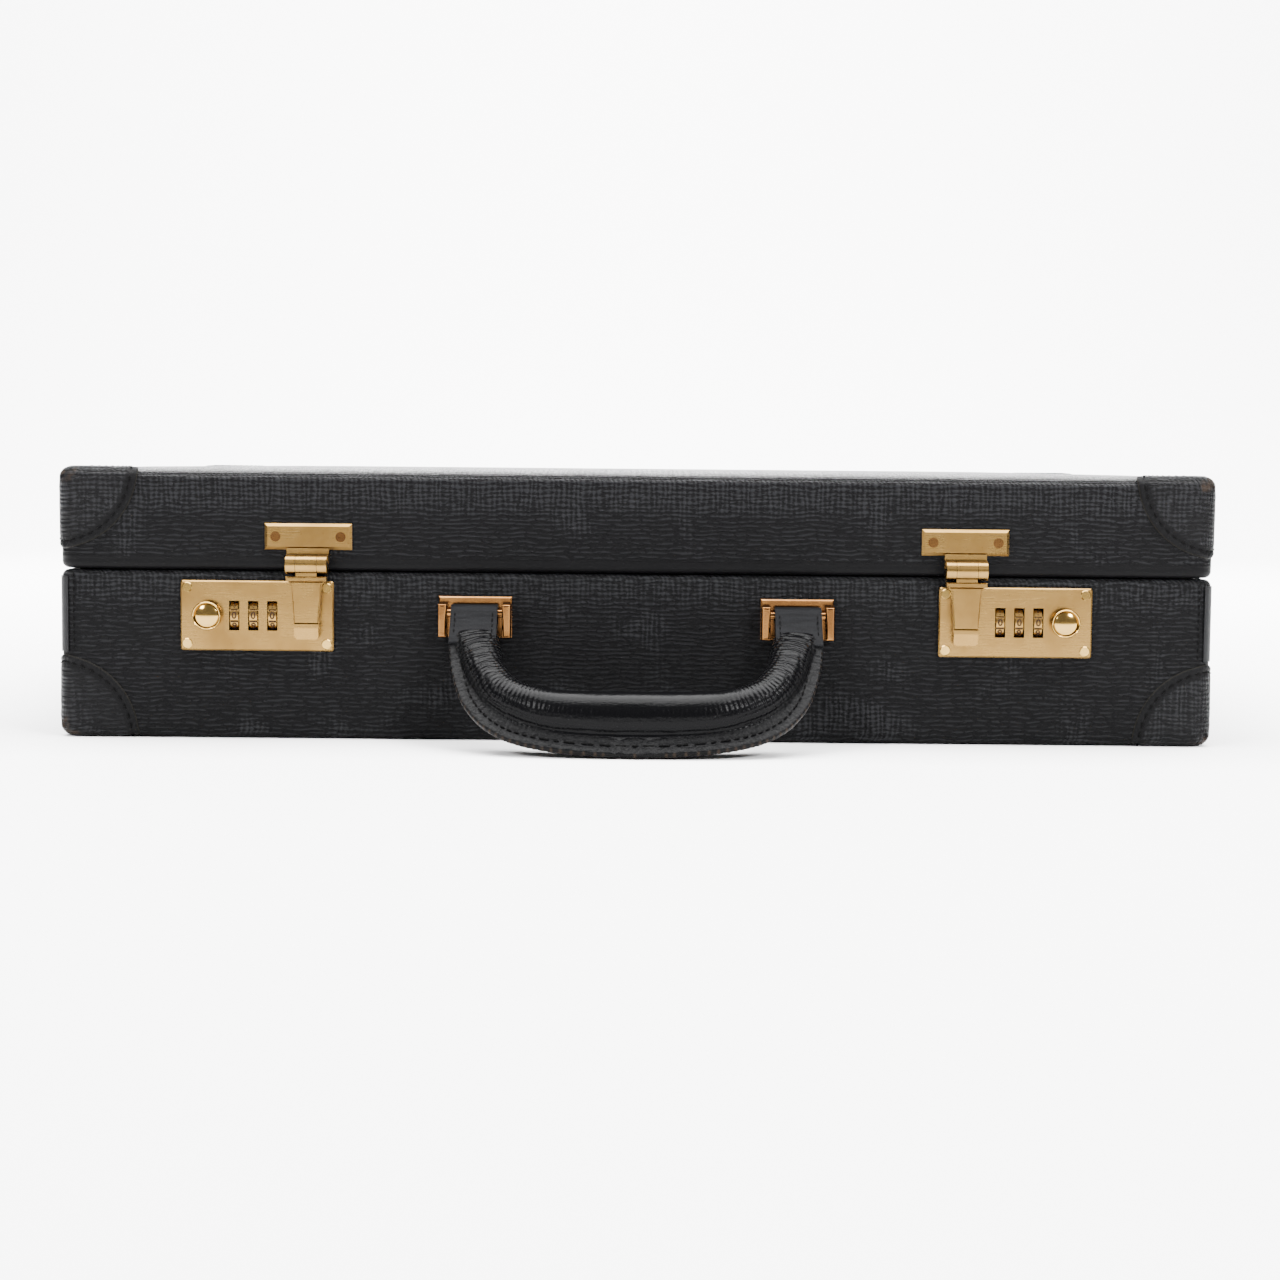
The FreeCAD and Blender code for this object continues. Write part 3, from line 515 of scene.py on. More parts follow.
cap_stitches = 11
stitch_sunk = 0.22 * mm
cap_stations = []
lobes = [(Vector((-1, 0, 0)), Vector((0, 1, 0)), (7, 75)),
         (Vector((0, 1, 0)), Vector((0, 0, -1)), (9, 84)),
         (Vector((0, 0, -1)), Vector((-1, 0, 0)), (6, 81))]
for first, second, (start, end) in lobes:
    for n in range(cap_stitches):
        turn = math.radians(start + (end - start) * n / (cap_stitches - 1))
        place = tip + (first * math.cos(turn) + second * math.sin(turn)) * groove * mm
        along = second * math.cos(turn) - first * math.sin(turn)
        _, place, up, _ = form.closest_point_on_mesh(place)
        cap_stations.append((place - up * stitch_sunk, along - up * 0.25, up))
cap_seam = sew("corner_seam", cap_stations, 2.5 * mm, 0.75 * mm)
bpy.data.objects.remove(form)

thread_finish = Finish("waxed_thread", specular=0.03)
where, (x, y, z) = thread_finish.place()
fibre = thread_finish.noise(where, 3000.0, 2.0)
twist_pitch = 0.35 * mm
thread_finish.bump(((x + y + z) * (2 * math.pi / twist_pitch)).sine() + fibre, 0.05 * mm)
black_thread = thread_finish.dress(
    Base_Color=thread_finish.mix(fibre, (0.001, 0.001, 0.001), (0.004, 0.004, 0.004)),
    Roughness=0.6)

# The leather of the caps has its grain on the faces. It is crinkled outside the seam, and brown
# and scuffed at the tip.
cap_finish = Finish("cap_leather", specular=0.055)
where, (x, y, z) = cap_finish.place()
reach = cap_finish.attribute("reach")
blotch = cap_finish.noise(where, 60.0, 2.0)
flat = (z > cap_high.z - 1.2 * mm) + (z < 1.3 * mm)
rim = cap_finish.step(reach, 0.84, 0.90)
height, lit_tops = hide(cap_finish, x + y * (1 - flat), z + flat * y, blotch,
                    square=cap_finish.step(blotch, 0.45, 0.5) * 0.6, calm=rim * 0.65)
crackle = cap_finish.noise(where, 700.0, 3.0, 0.6)
cap_finish.bump(height * (1 - rim * 0.7) + rim * crackle * 1.5, grain_depth)
scuff = cap_finish.step(cap_finish.noise(where, 260.0, 4.0) + (1 - reach) * 0.9, 1.20, 1.42)
scuff = scuff * cap_finish.step(reach, 0.50, 0.20)
# The ridge tops are painted lighter: a painted highlight where the grain catches the light.
colour = cap_finish.mix(lit_tops, black, worn_and_highlit_black)
colour = cap_finish.mix(scuff * 0.6, colour, (0.026, 0.018, 0.013))
edge = cap_finish.step(reach, 0.985, 1.0)
cap_leather = cap_finish.dress(
    Base_Color=cap_finish.mix(edge * 0.6, colour, (0.010, 0.009, 0.006)),
    Roughness=0.47 - lit_tops * 0.16 + blotch * 0.08 + scuff * 0.3)

base_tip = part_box("base_corner_front_right")[0].z
for half, flip, lift in (("lid", 1, 0.0), ("base", -1, tip.z + base_tip)):
    for depth_name, y_side in (("front", 1), ("back", -1)):
        for side_name, x_side in (("right", 1), ("left", -1)):
            node = "_".join((half, "corner", depth_name, side_name))
            piece = mirrored(cap, "cap_" + node, x_side, y_side, flip, lift)
            finish_with(piece, "SOLIDIFY", thickness=cap_thick, offset=-1)
            smooth(piece, 50)
            wear(piece, cap_leather)
            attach(piece, half)
            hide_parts(node)
            seam = mirrored(cap_seam, "seam_" + node, x_side, y_side, flip, lift)
            outward_normals(seam)
            wear(seam, black_thread)
            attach(seam, half)
bpy.data.objects.remove(cap)
bpy.data.objects.remove(cap_seam)


# Narrow strips of smooth leather cover the upright corners of the base. A row of small
# stitches runs down each front and back edge.
strip_low, strip_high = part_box("corner_strips")
strip_first, strip_spacing = 1.8 * mm, 2.75 * mm
strip_edge_in = 6.2 * mm
for side_name, x_side in (("right", 1), ("left", -1)):
    stations = []
    for y_side in (-1, 1):
        for n in range(11):
            place = Vector((x_side * (strip_high.x - strip_edge_in),
                            y_side * (-front_y + 0.05 * mm),
                            strip_low.z + strip_first + strip_spacing * n))
            stations.append((place, (0, y_side * 0.2, 1), (0, y_side, 0)))
    seam = sew("strip_seam_" + side_name, stations, 2.0 * mm, 0.55 * mm)
    wear(seam, black_thread)
    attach(seam, "base")


# Brass. The plates and hasps are satin, the knobs, pins and bars polished, and the handle's
# fittings and the flush rivets have a redder, coppery lacquer. Springs and slides are steel.
def brass(name, base, dull, roughness, scratch, stain_high=0.75):
    finish = Finish(name, metallic=1.0)
    where, (x, y, z) = finish.place()
    stain = finish.noise(where, 70.0, 5.0)
    lines = finish.noise(finish.vector(x * 90, y * 90, z * 2600), 1.0, 3.0)
    specks = finish.step(finish.noise(where, 1100.0, 1.0), 0.72, 0.78)
    tarnish = finish.step(stain, 0.42, stain_high) * 0.55 + specks * 0.4
    finish.bump(lines, scratch)
    return finish.dress(Base_Color=finish.mix(tarnish, base, dull),
                        Roughness=roughness + stain * 0.10 + lines * 0.06)


satin_brass = brass("satin_brass", (0.205, 0.122, 0.037), (0.115, 0.060, 0.016), 0.20, 0.012 * mm)
bright_brass = brass("bright_brass", (0.37, 0.235, 0.068), (0.20, 0.115, 0.03), 0.05, 0.002 * mm)
rose_brass = brass("rose_brass", (0.165, 0.078, 0.025), (0.065, 0.026, 0.009), 0.13, 0.004 * mm,
                   stain_high=0.6)
steel = brass("plain_steel", (0.26, 0.26, 0.27), (0.14, 0.135, 0.13), 0.28, 0.006 * mm)
slots = {row["node"]: row["material_slot"] for row in frame["record"]["subparts"]}
metals = {"satin_brass": satin_brass, "bright_brass": bright_brass, "rose_brass": rose_brass,
          "steel": steel}
for name, slot in slots.items():
    if slot in metals:
        wear(nodes[name], metals[slot])


# Number wheels. Each brass ring carries the figures 0 to 9 in thin dark brown lacquer, with a
# line between each figure and the next. The locks are set to 0, so 1 shows above it and 9 below.
figure_turn = math.radians(36)
figure_size = 3.9 * mm
figure_depth = 0.04 * mm
stroke_extra = 0.10 * mm
line_wide, line_high = 2.9 * mm, 0.32 * mm
lacquer_finish = Finish("brown_lacquer", roughness=0.5, specular=0.05)
where, _ = lacquer_finish.place()
chips = lacquer_finish.noise(where, 1600.0, 3.0)
lacquer = lacquer_finish.dress(
    Base_Color=lacquer_finish.mix(chips, (0.008, 0.004, 0.002), (0.030, 0.015, 0.008)),
    Roughness=0.45 + chips * 0.2)
for name in [name for name in nodes if name.startswith("dial_") and name != "dial_axles"]:
    low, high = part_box(name)
    axle = (low + high) / 2
    radius = (high.z - low.z) / 2
    figures = []
    for figure in range(10):
        clear()
        bpy.ops.object.text_add()
        text = bpy.context.object
        text.data.body = str(figure)
        text.data.size = figure_size
        text.data.align_x = "CENTER"
        text.data.align_y = "CENTER"
        text.data.extrude = figure_depth
        text.data.resolution_u = 2
        text.data.offset = stroke_extra
        bpy.ops.object.convert(target="MESH")
        text = bpy.context.object
        bpy.ops.object.mode_set(mode="EDIT")
        merge_doubles()
        bpy.ops.mesh.subdivide(number_cuts=1)
        done()
        for vert in text.data.vertices:
            turn = vert.co.y / radius + figure_turn * figure
            out = radius + vert.co.z
            vert.co = axle + Vector((vert.co.x, -out * math.cos(turn), out * math.sin(turn)))
        figures.append(text)
        line_corner = Vector((line_wide / 2, figure_depth, line_high / 2))
        face_at = axle - Vector((0, radius, 0))
        add_box("line", face_at - line_corner, face_at + line_corner)
        bpy.ops.object.mode_set(mode="EDIT")
        bpy.ops.mesh.select_all(action="SELECT")
        bpy.ops.transform.rotate(value=figure_turn * (figure + 0.5), orient_axis="X",
                                 orient_type="GLOBAL", center_override=axle)
        figures.append(done())
    for part in figures:
        part.select_set(True)
    bpy.ops.object.join()
    piece = bpy.context.object
    piece.name = name.replace("dial", "figures")
    wear(piece, lacquer)
    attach(piece, name)


# Lock knobs, turned from brass and polished like a mirror: a raised lip round a low dome. The
# profile is places out from the axis and back from the front. A square stem holds each knob.
knob_low, knob_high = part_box("latch_button_right")
knob_axis = Vector(((knob_low.x + knob_high.x) / 2, knob_low.y, (knob_low.z + knob_high.z) / 2))
knob_profile = [(0, 0.1), (1.6, 0.16), (3.0, 0.42), (4.1, 0.85), (4.55, 1.1), (4.7, 0.75),
                (4.9, 0.35), (5.15, 0.25), (5.4, 0.42), (5.53, 0.8), (5.55, 1.6), (5.5, 2.8),
                (5.2, 3.55), (0, 3.55)]
stem_half, stem_starts, stem_ends = 1.2, 3.5, 6.8
knob = chain("knob_right", [knob_axis + Vector((r, y, 0)) * mm for r, y in knob_profile])
bpy.ops.mesh.spin(steps=48, angle=math.radians(360), center=knob_axis, axis=(0, 1, 0))
merge_doubles()
bpy.ops.mesh.normals_make_consistent(inside=False)
done()
smooth(knob, 45)
stem = add_box("knob_stem", knob_axis + Vector((-stem_half, stem_starts, -stem_half)) * mm,
               knob_axis + Vector((stem_half, stem_ends, stem_half)) * mm)
finish_with(stem, "BEVEL", width=0.5 * mm, segments=3)
stem.select_set(True)
knob.select_set(True)
bpy.context.view_layer.objects.active = knob
bpy.ops.object.join()
wear(knob, bright_brass)
in_left_knob = Vector((-knob_axis.x, knob_axis.y + 2 * mm, knob_axis.z))
left_knob = mirrored(knob, "knob_left", x=-1, out_from=in_left_knob)
for piece, side in ((knob, "right"), (left_knob, "left")):
    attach(piece, "latch_" + side)
    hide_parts("latch_button_" + side)


# The lid's skin: the hide is drawn over a padded board, so the top rises gently from a
# crease just inside the rolled edge.
skin_low, skin_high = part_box("lid_cover")
crest_z = 99.6 * mm
upright_radius, crest_radius, roll_radius = 8 * mm, 1.3 * mm, 2.5 * mm
hide_thick = 1.2 * mm
crease_steps = ((0.7, -0.30), (0.5, 0.50), (1.0, 0.95), (1.6, 0.60))
crown_steps = ((3, 0.55), (7, 0.55), (14, 0.45), (25, 0.30), (35, 0.15))
crown_margin = 5 * mm
lid_skin = add_box("lid_skin", skin_low, (skin_high.x, skin_high.y, crest_z))
pick("edges", lambda edge: abs(edge.verts[0].co.z - edge.verts[1].co.z) > 10 * mm)
bpy.ops.mesh.bevel(offset=upright_radius, segments=8, affect="EDGES")
pick("edges", lambda edge: all(vert.co.z > crest_z - 0.1 * mm for vert in edge.verts))
bpy.ops.mesh.bevel(offset=crest_radius, segments=4, affect="EDGES")
pick("edges", lambda edge: all(vert.co.z < skin_low.z + 0.1 * mm for vert in edge.verts))
bpy.ops.mesh.bevel(offset=roll_radius, segments=5, affect="EDGES")
pick("faces", lambda face: face.normal.z > 0.99 and middle(face).xy.length < 5 * mm)
for inward, upward in crease_steps:
    bpy.ops.mesh.inset(thickness=inward * mm, depth=upward * mm)
half_wide, half_deep = skin_high.x - crown_margin, skin_high.y - crown_margin
for inward, upward in crown_steps:
    bpy.ops.mesh.extrude_region_move(TRANSFORM_OT_translate={"value": (0, 0, upward * mm)})
    bpy.ops.transform.resize(value=(1 - inward * mm / half_wide, 1 - inward * mm / half_deep, 1),
                             center_override=(0, 0, crest_z))
    half_wide, half_deep = half_wide - inward * mm, half_deep - inward * mm
pick("faces", lambda face: face.normal.z < -0.99 and face.calc_area() > 0.05)
bpy.ops.mesh.inset(thickness=1.0 * mm, depth=0)
bpy.ops.mesh.delete(type="FACE")
done()
finish_with(lid_skin, "SOLIDIFY", thickness=hide_thick, offset=-1)
smooth(lid_skin, 50)

# Its grain is plain near the lower rim, and square below the crest.
lid_hide = Finish("lid_hide", specular=0.045)
where, (x, y, z) = lid_hide.place()
flat = z > crest_z + 0.4 * mm
blotch = lid_hide.noise(where, 38.0, 2.0)
square = lid_hide.step(z, 82 * mm, 92 * mm) * 0.9
plain = 1 - lid_hide.step(z, 68.0 * mm, 69.5 * mm)
height, lit_tops = hide(lid_hide, x + y * (1 - flat), z + flat * y, blotch,
                    square=square, calm=plain * 0.85)
lid_hide.bump(height, grain_depth)
# The ridge tops are painted lighter, a painted highlight, except in the plain band near the lower
# rim.
wear(lid_skin, lid_hide.dress(
    Base_Color=lid_hide.mix(lit_tops * (1 - plain), black, worn_and_highlit_black),
    Roughness=0.56 - lit_tops * 0.16 + blotch * 0.08 - plain * 0.1 - flat * 0.24))
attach(lid_skin, "lid")
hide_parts("lid_cover")


# Two straps carry the handle. Each is one strip of leather, folded round the bracket's pin
# and sewn up its edges, with its ends buried in the handle.
pin_low, pin_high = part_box("handle_pins")
pivot = Vector((0, (pin_low.y + pin_high.y) / 2, (pin_low.z + pin_high.z) / 2))
lean = math.radians(45.961)
outward = Vector((0, -math.cos(lean), math.sin(lean)))
downward = Vector((0, -math.sin(lean), -math.cos(lean)))


def hang(thing):
    """Turns a piece modelled hanging from the origin onto the pivot, then fixes its place."""
    choose(thing)
    thing.rotation_euler = (-lean, 0, 0)
    thing.location = pivot
    bpy.ops.object.transform_apply(location=True, rotation=True, scale=True)


strap_wide = 17.6 * mm
strap_thick = 1.6 * mm
fold = 2.5 * mm
strap_end = 17.0 * mm
strap_half = 1.75 * mm
strap_finish = Finish("strap_leather", specular=0.02)
where, (x, y, z) = strap_finish.place()
creases = strap_finish.noise(strap_finish.vector(x * 120, y * 900, z * 900), 1.0, 3.0)
pores = strap_finish.noise(where, 1700.0, 2.0)
strap_finish.bump(creases * 1.4 + pores * 0.6, 0.10 * mm)
strap_leather = strap_finish.dress(
    Base_Color=strap_finish.mix(creases, black, worn_and_highlit_black), Roughness=0.34 + creases * 0.18)
half_wrap = []
for n in range(9):
    turn = math.radians(90 * n / 8)
    half_wrap.append((fold * math.sin(turn), fold * math.cos(turn)))
side_line = half_wrap + [(2.45 * mm, -2.0 * mm), (2.1 * mm, -4.0 * mm), (strap_half, -6.5 * mm),
                         (strap_half, -10 * mm), (strap_half, -14 * mm), (strap_half, -strap_end)]
profile = [(-out, up) for out, up in reversed(side_line)] + side_line[1:]
loop_low, loop_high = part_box("handle_loop_right")
loop_x = (loop_low.x + loop_high.x) / 2
strap = chain("strap_right", [(loop_x - strap_wide / 2, out, up) for out, up in profile])
bpy.ops.mesh.extrude_region_move(TRANSFORM_OT_translate={"value": (strap_wide, 0, 0)})
bpy.ops.mesh.select_all(action="SELECT")
bpy.ops.mesh.normals_make_consistent(inside=False)
done()
if sum(face.normal.y * face.center.y + face.normal.z * max(face.center.z, 0)
       for face in strap.data.polygons) < 0:
    pick("faces", lambda face: True)
    bpy.ops.mesh.flip_normals()
    done()
finish_with(strap, "SOLIDIFY", thickness=strap_thick, offset=0)
finish_with(strap, "BEVEL", width=0.35 * mm, segments=2, limit_method="ANGLE")
smooth(strap, 40)
hang(strap)
wear(strap, strap_leather)
left_strap = mirrored(strap, "strap_left", x=-1, out_from=pivot + Vector((-loop_x, 0, 0)))
for piece, side in ((strap, "right"), (left_strap, "left")):
    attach(piece, "handle")
    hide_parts("handle_loop_" + side)

strap_stitch_first, strap_stitch_spacing = 3.4 * mm, 2.6 * mm
strap_seam_in = 1.7 * mm
strap_stations = []
for edge_x in (-1, 1):
    for face_side in (-1, 1):
        for n in range(4):
            down = strap_stitch_first + strap_stitch_spacing * n
            place = Vector((loop_x + edge_x * (strap_wide / 2 - strap_seam_in), 0, 0))
            place += pivot + downward * down + outward * face_side * (
                (strap_half if down > 6 * mm else 2.2 * mm) + strap_thick / 2 + 0.06 * mm)
            strap_stations.append((place, downward, outward * face_side))
strap_seam = sew("strap_stitches_right", strap_stations, 1.9 * mm, 0.5 * mm)
wear(strap_seam, black_thread)
left_seam = mirrored(strap_seam, "strap_stitches_left", x=-1)
outward_normals(left_seam)
for piece in (strap_seam, left_seam):
    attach(piece, "handle")


# The handle is a flat steel core, padded and wrapped in one piece of leather. Its two edges
# meet below as a flat flange, sewn through with a heavy thread. It is modelled hanging down,
# then leaned out.

# Sections are places across and down from the pivot, half sizes, and degrees from straight down.
grip_sections = [(60.6, 10.8, 9.1, 3.3, 0), (58.2, 20, 8.3, 5.9, 8), (54.6, 31.5, 7.6, 7.3, 22),
                 (46.6, 42.6, 7.9, 8.3, 50), (33, 48.6, 8.7, 9.0, 76), (16.5, 50.3, 9.2, 9.3, 87),
                 (0, 50.5, 9.4, 9.4, 90)]
flange_edge = [(69.6, 10.8), (69.2, 22), (66.8, 34.3), (63.2, 45), (56.9, 54.3), (48.3, 61),
               (37.8, 64.9), (25.8, 67.2), (11.3, 68.6)]
flange_tip = 68.9
flange_half = 1.25
grip_voxel = 0.62 * mm


def along_line(points, t):
    """A smooth place on a line of points, for t from 0 to 1."""
    place = t * (len(points) - 1)
    n = min(int(place), len(points) - 2)
    f = place - n
    quad = points[max(n - 1, 0)], points[n], points[n + 1], points[min(n + 2, len(points) - 1)]
    return [0.5 * (2 * b + (c - a) * f + (2 * a - 5 * b + 4 * c - d) * f * f
                   + (3 * b - a - 3 * c + d) * f ** 3) for a, b, c, d in zip(*quad)]


def hung(points):
    """Places across and down from the pivot, in millimetres, as vectors."""
    return [Vector((across, 0, -down)) * mm for across, down in points]


def turn_about(place, degrees):
    """Turns the selection about a place. The operator turns the other way."""
    bpy.ops.transform.rotate(value=-math.radians(degrees), orient_axis="Y",
                             orient_type="GLOBAL", center_override=place)


rings_per_side = 30
sections = [along_line(grip_sections, n / (rings_per_side - 1)) for n in range(rings_per_side)]
sections[-1][0], sections[-1][4] = 0.0, 90.0
clear()
across, down, wide, thick, heading = sections[0]
here = Vector((across, 0, -down)) * mm
bpy.ops.mesh.primitive_circle_add(vertices=40, radius=mm, location=here, fill_type="NGON")
grip = bpy.context.object
grip.name = "grip"
bpy.ops.object.transform_apply(location=True, rotation=True, scale=True)
bpy.ops.object.mode_set(mode="EDIT")
bpy.ops.mesh.select_mode(type="EDGE")
bpy.ops.mesh.select_all(action="SELECT")
bpy.ops.transform.resize(value=(wide, thick, 1), center_override=here)
for section in sections[1:]:
    there = Vector((section[0], 0, -section[1])) * mm
    bpy.ops.mesh.extrude_edges_move(TRANSFORM_OT_translate={"value": there - here})
    turn_about(there, -heading)
    bpy.ops.transform.resize(value=(section[2] / wide, section[3] / thick, 1),
                             orient_type="GLOBAL", center_override=there)
    across, down, wide, thick, heading = section
    turn_about(there, heading)
    here = there
done()
finish_with(grip, "MIRROR", use_axis=(True, False, False), merge_threshold=0.3 * mm)

outer = [along_line(flange_edge, n / 30) for n in range(31)]
inner = [(across, down) for across, down, *_ in sections]
half_outline = hung(outer)
half_inner = hung(inner[:-1])
flip_x = Vector((-1, 1, 1))
outline = (half_inner + hung([(0, inner[-1][1])])
           + [place * flip_x for place in reversed(half_inner)]
           + [place * flip_x for place in half_outline] + hung([(0, flange_tip)])
           + half_outline[::-1])
chain("grip_flange", [place - Vector((0, flange_half * mm, 0))
                      for place in outline + outline[:1]])
merge_doubles()
bpy.ops.mesh.edge_face_add()
bpy.ops.mesh.extrude_region_move(TRANSFORM_OT_translate={"value": (0, 2 * flange_half * mm, 0)})
bpy.ops.mesh.select_all(action="SELECT")
bpy.ops.mesh.normals_make_consistent(inside=False)
done()
grip.select_set(True)
bpy.context.view_layer.objects.active = grip
bpy.ops.object.join()
bpy.ops.object.mode_set(mode="EDIT")
bpy.ops.mesh.select_all(action="SELECT")
bpy.ops.mesh.normals_make_consistent(inside=False)
done()
finish_with(grip, "REMESH", mode="VOXEL", voxel_size=grip_voxel)
finish_with(grip, "SMOOTH", factor=0.5, iterations=5)

# Attributes on the grip say how far a place is along it, and how deep into the sewn flange.
run = grip.data.attributes.new("run", "FLOAT", "POINT")
sewn = grip.data.attributes.new("sewn", "FLOAT", "POINT")
path = hung(inner)
lengths = [0.0]
for before, after in zip(path, path[1:]):
    lengths.append(lengths[-1] + (after - before).length)
seam_path = hung(outer + [(0, flange_tip)])
seam_band_deep = 9 * mm
fold_pitch, folds_reach = 3.1 * mm, 34 * mm
random.seed(11)
for vert in grip.data.vertices:
    flat_place = Vector((abs(vert.co.x), 0, vert.co.z))
    near = min(range(len(path)), key=lambda n: (path[n] - flat_place).length)
    other = near - 1 if near == len(path) - 1 or (
        near > 0 and (path[near - 1] - flat_place).length < (path[near + 1] - flat_place).length
    ) else near + 1
    step = path[other] - path[near]
    share = max(0.0, min(1.0, (flat_place - path[near]).dot(step) / step.length_squared))
    run.data[vert.index].value = lengths[near] + (lengths[other] - lengths[near]) * share
    edge_far = min((place - flat_place).length for place in seam_path)
    gap = (flat_place - path[near] - step * share).length
    sewn.data[vert.index].value = max(0.0, 1 - edge_far / seam_band_deep) if gap > 6 * mm else 0.0
creased = [vert.normal.copy() for vert in grip.data.vertices]
for vert, normal in zip(grip.data.vertices, creased):
    far = run.data[vert.index].value
    deep = sewn.data[vert.index].value
    ends = max(0.0, 1 - far / folds_reach)
    fold_in = math.sin(far * 2 * math.pi / fold_pitch + 1.4 * math.sin(vert.co.y * 500)) * 0.16
    groove_in = math.exp(-((deep - 0.55) / 0.12) ** 2) * 0.35 if abs(normal.y) > 0.5 else 0.0
    vert.co += normal * (fold_in * ends - groove_in + random.uniform(-0.03, 0.03)) * mm

wrinkle_pitch, long_pitch = 1.7 * mm, 1.9 * mm
grip_finish = Finish("grip_leather", specular=0.045)
where, (x, y, z) = grip_finish.place()
length_on = grip_finish.attribute("run")
seam_on = grip_finish.attribute("sewn")
wander = grip_finish.noise(where, 90.0, 2.0)
around = (length_on * (2 * math.pi / wrinkle_pitch) + wander * 11.0).sine() * 0.5 + 0.5
lengthwise = ((y - z) * (2 * math.pi / long_pitch) + wander * 11.0).sine() * 0.5 + 0.5
near_end = grip_finish.step(length_on, 62 * mm, 26 * mm) * 0.75 + 0.25
folds = (around * 0.55 + lengthwise * 0.45) * near_end
checks = grip_finish.noise(where, 1500.0, 2.0)
scratches = grip_finish.noise(grip_finish.vector(length_on * 60, y * 900, z * 900), 1.0, 4.0, 0.4)
light_lines = grip_finish.step(scratches, 0.66, 0.72) * grip_finish.step(x, 10 * mm, -45 * mm)
seam_band = grip_finish.step(seam_on, 0.05, 0.25)
crinkle = grip_finish.noise(where, 620.0, 3.0, 0.8)
grip_finish.bump(folds * (1 - seam_band * 0.6) + checks * 0.35 + crinkle * seam_band * 1.6,
                 0.24 * mm)
# The fold tops are painted lighter, a painted highlight. The light lines are lighter scratches
# towards the left end.
grip_colour = grip_finish.mix(light_lines * 0.7 + grip_finish.step(folds, 0.5, 0.85) * 0.3,
                              (0.0012, 0.0012, 0.0014), (0.012, 0.012, 0.012))
edge_worn = grip_finish.step(seam_on, 0.90, 1.0)
grip_leather = grip_finish.dress(
    Base_Color=grip_finish.mix(edge_worn * 0.6, grip_colour, (0.022, 0.015, 0.010)),
    Roughness=0.22 + folds * 0.10 + seam_band * 0.16 + light_lines * 0.2)
hang(grip)
smooth(grip, 60)
wear(grip, grip_leather)
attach(grip, "handle")
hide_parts("handle_grip")

# The heavy seam runs a little inside the flange's edge, on both faces. Numbers are millimetres.
heavy_spacing, heavy_seam_in = 3.2, 4.1
hand_hole = Vector((30, 25))
edge_line = [Vector(along_line(flange_edge + [(0, flange_tip)], n / 60)) for n in range(61)]
heavy_stations = []
carried = 0.0
for before, after in zip(edge_line, edge_line[1:]):
    carried += (after - before).length
    if carried < heavy_spacing:
        continue
    carried -= heavy_spacing
    along = (after - before).normalized()
    inward = Vector((along.y, -along.x))
    if inward.dot(hand_hole - after) < 0:
        inward = -inward
    for x_side in (1, -1):
        spot = after + inward * heavy_seam_in
        for face_side in (1, -1):
            place = (pivot + Vector((x_side * spot.x, 0, 0)) * mm + downward * spot.y * mm
                     + outward * face_side * (flange_half - 0.02) * mm)
            way = Vector((x_side * along.x, 0, 0)) + downward * along.y
            heavy_stations.append((place, way, outward * face_side))
grip_seam = sew("grip_stitches", heavy_stations, 2.3 * mm, 0.7 * mm)
wear(grip_seam, black_thread)
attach(grip_seam, "handle")


# Inside, both halves are lined with tan suede cloth, glued to the boards. The rim strip
# between the halves is black painted metal.
suede_finish = Finish("tan_suede", specular=0.15, sheen=0.5)
where, _ = suede_finish.place()
nap = suede_finish.noise(where, 900.0, 4.0)
stroked = suede_finish.noise(where, 22.0, 3.0)
suede_finish.bump(nap, 0.15 * mm)
suede = suede_finish.dress(
    Base_Color=suede_finish.mix(stroked * 0.6 + nap * 0.4,
                                (0.070, 0.034, 0.014), (0.130, 0.070, 0.032)),
    Roughness=0.82 + nap * 0.12)
board_finish = Finish("grey_board", specular=0.2)
_, (x, y, z) = board_finish.place()
fibres = board_finish.noise(board_finish.vector(x * 300, y * 1200, z * 1200), 1.0, 4.0)
board_finish.bump(fibres, 0.08 * mm)
board = board_finish.dress(
    Base_Color=board_finish.mix(fibres, (0.050, 0.038, 0.027), (0.095, 0.075, 0.055)),
    Roughness=0.75 + fibres * 0.15)
paint_finish = Finish("black_paint", specular=0.15)
where, _ = paint_finish.place()
orange_peel = paint_finish.noise(where, 1400.0, 2.0)
paint_finish.bump(orange_peel, 0.01 * mm)
paint = paint_finish.dress(
    Base_Color=paint_finish.mix(orange_peel, (0.003, 0.003, 0.003), (0.006, 0.006, 0.006)),
    Roughness=0.34 + orange_peel * 0.12)
soft_slots = {"lining": suede, "board": board, "black_metal": paint,
              "corner_leather": cap_leather, "handle_leather": strap_leather}
dressed = {"base_cover", "base_bottom_panel", "corner_strips"}
for name, slot in slots.items():
    if slot in soft_slots and name not in dressed:
        wear(nodes[name], soft_slots[slot])


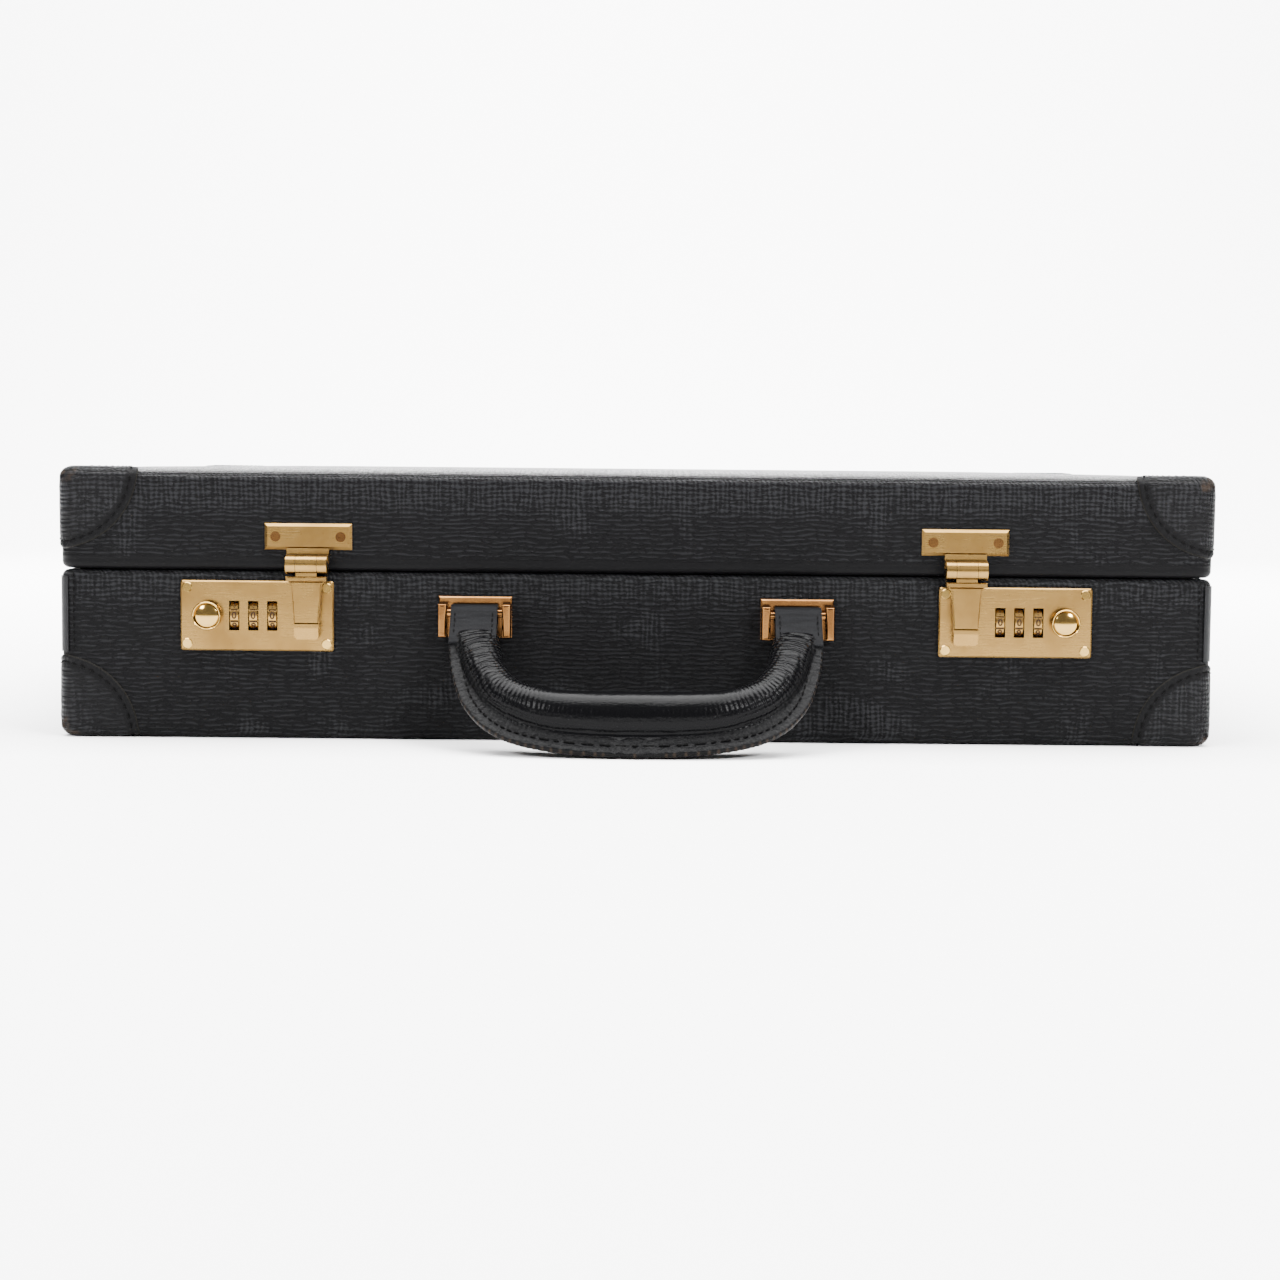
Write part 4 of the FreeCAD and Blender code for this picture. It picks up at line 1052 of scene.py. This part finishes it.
# The lid's board is a tray with a chamfered top edge, to leave room for the crease in the hide.
board_low, board_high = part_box("lid_shell")
lined_low, lined_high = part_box("lid_lining")
board_corner, board_chamfer = 6.8 * mm, 4.5 * mm
lid_board = add_box("lid_board", board_low, board_high)
pick("edges", lambda edge: abs(edge.verts[0].co.z - edge.verts[1].co.z) > 10 * mm)
bpy.ops.mesh.bevel(offset=board_corner, segments=6, affect="EDGES")
pick("edges", lambda edge: all(vert.co.z > board_high.z - 0.1 * mm for vert in edge.verts))
bpy.ops.mesh.bevel(offset=board_chamfer, segments=1, affect="EDGES")
pick("faces", lambda face: face.normal.z < -0.99)
bpy.ops.mesh.inset(thickness=lined_low.x - board_low.x, depth=0)
bpy.ops.mesh.extrude_region_move(
    TRANSFORM_OT_translate={"value": (0, 0, lined_high.z - board_low.z)})
done()
wear(lid_board, board)
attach(lid_board, "lid")
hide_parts("lid_shell")


# The lid's pocket for papers is an envelope of black leather. Its face is bound along the
# top and sewn round the other three sides.
pocket_low, pocket_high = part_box("lid_pocket")
pocket_stations = []
inset_by = 3.0 * mm
pocket_z = pocket_low.z - 0.1 * mm
spacing = 3.3 * mm
left, right = pocket_low.x + inset_by, pocket_high.x - inset_by
near, far = pocket_low.y + inset_by, pocket_high.y - inset_by
for n in range(int((right - left) / spacing) + 1):
    pocket_stations.append((Vector((left + n * spacing, far, pocket_z)), (1, 0, 0), (0, 0, -1)))
for n in range(int((far - near) / spacing) + 1):
    for x in (left, right):
        pocket_stations.append((Vector((x, near + n * spacing, pocket_z)), (0, 1, 0), (0, 0, -1)))
pocket_seam = sew("pocket_stitches", pocket_stations, 2.4 * mm, 0.6 * mm)
wear(pocket_seam, black_thread)
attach(pocket_seam, "lid")
wear(nodes["lid_pocket"], smooth_leather)
binding_proud, binding_wide, binding_in = 0.6 * mm, 6 * mm, 0.4 * mm
bound = add_box(
    "pocket_binding",
    (pocket_low.x, pocket_low.y - binding_proud, pocket_low.z - binding_proud),
    (pocket_high.x, pocket_low.y + binding_wide, pocket_low.z + binding_in))
pick("faces", lambda face: face.normal.z < -0.9)
bpy.ops.mesh.inset(thickness=1.2 * mm, depth=0.25 * mm)
done()
finish_with(bound, "BEVEL", width=0.5 * mm, segments=3, limit_method="ANGLE")
smooth(bound, 40)
wear(bound, smooth_leather)
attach(bound, "lid")
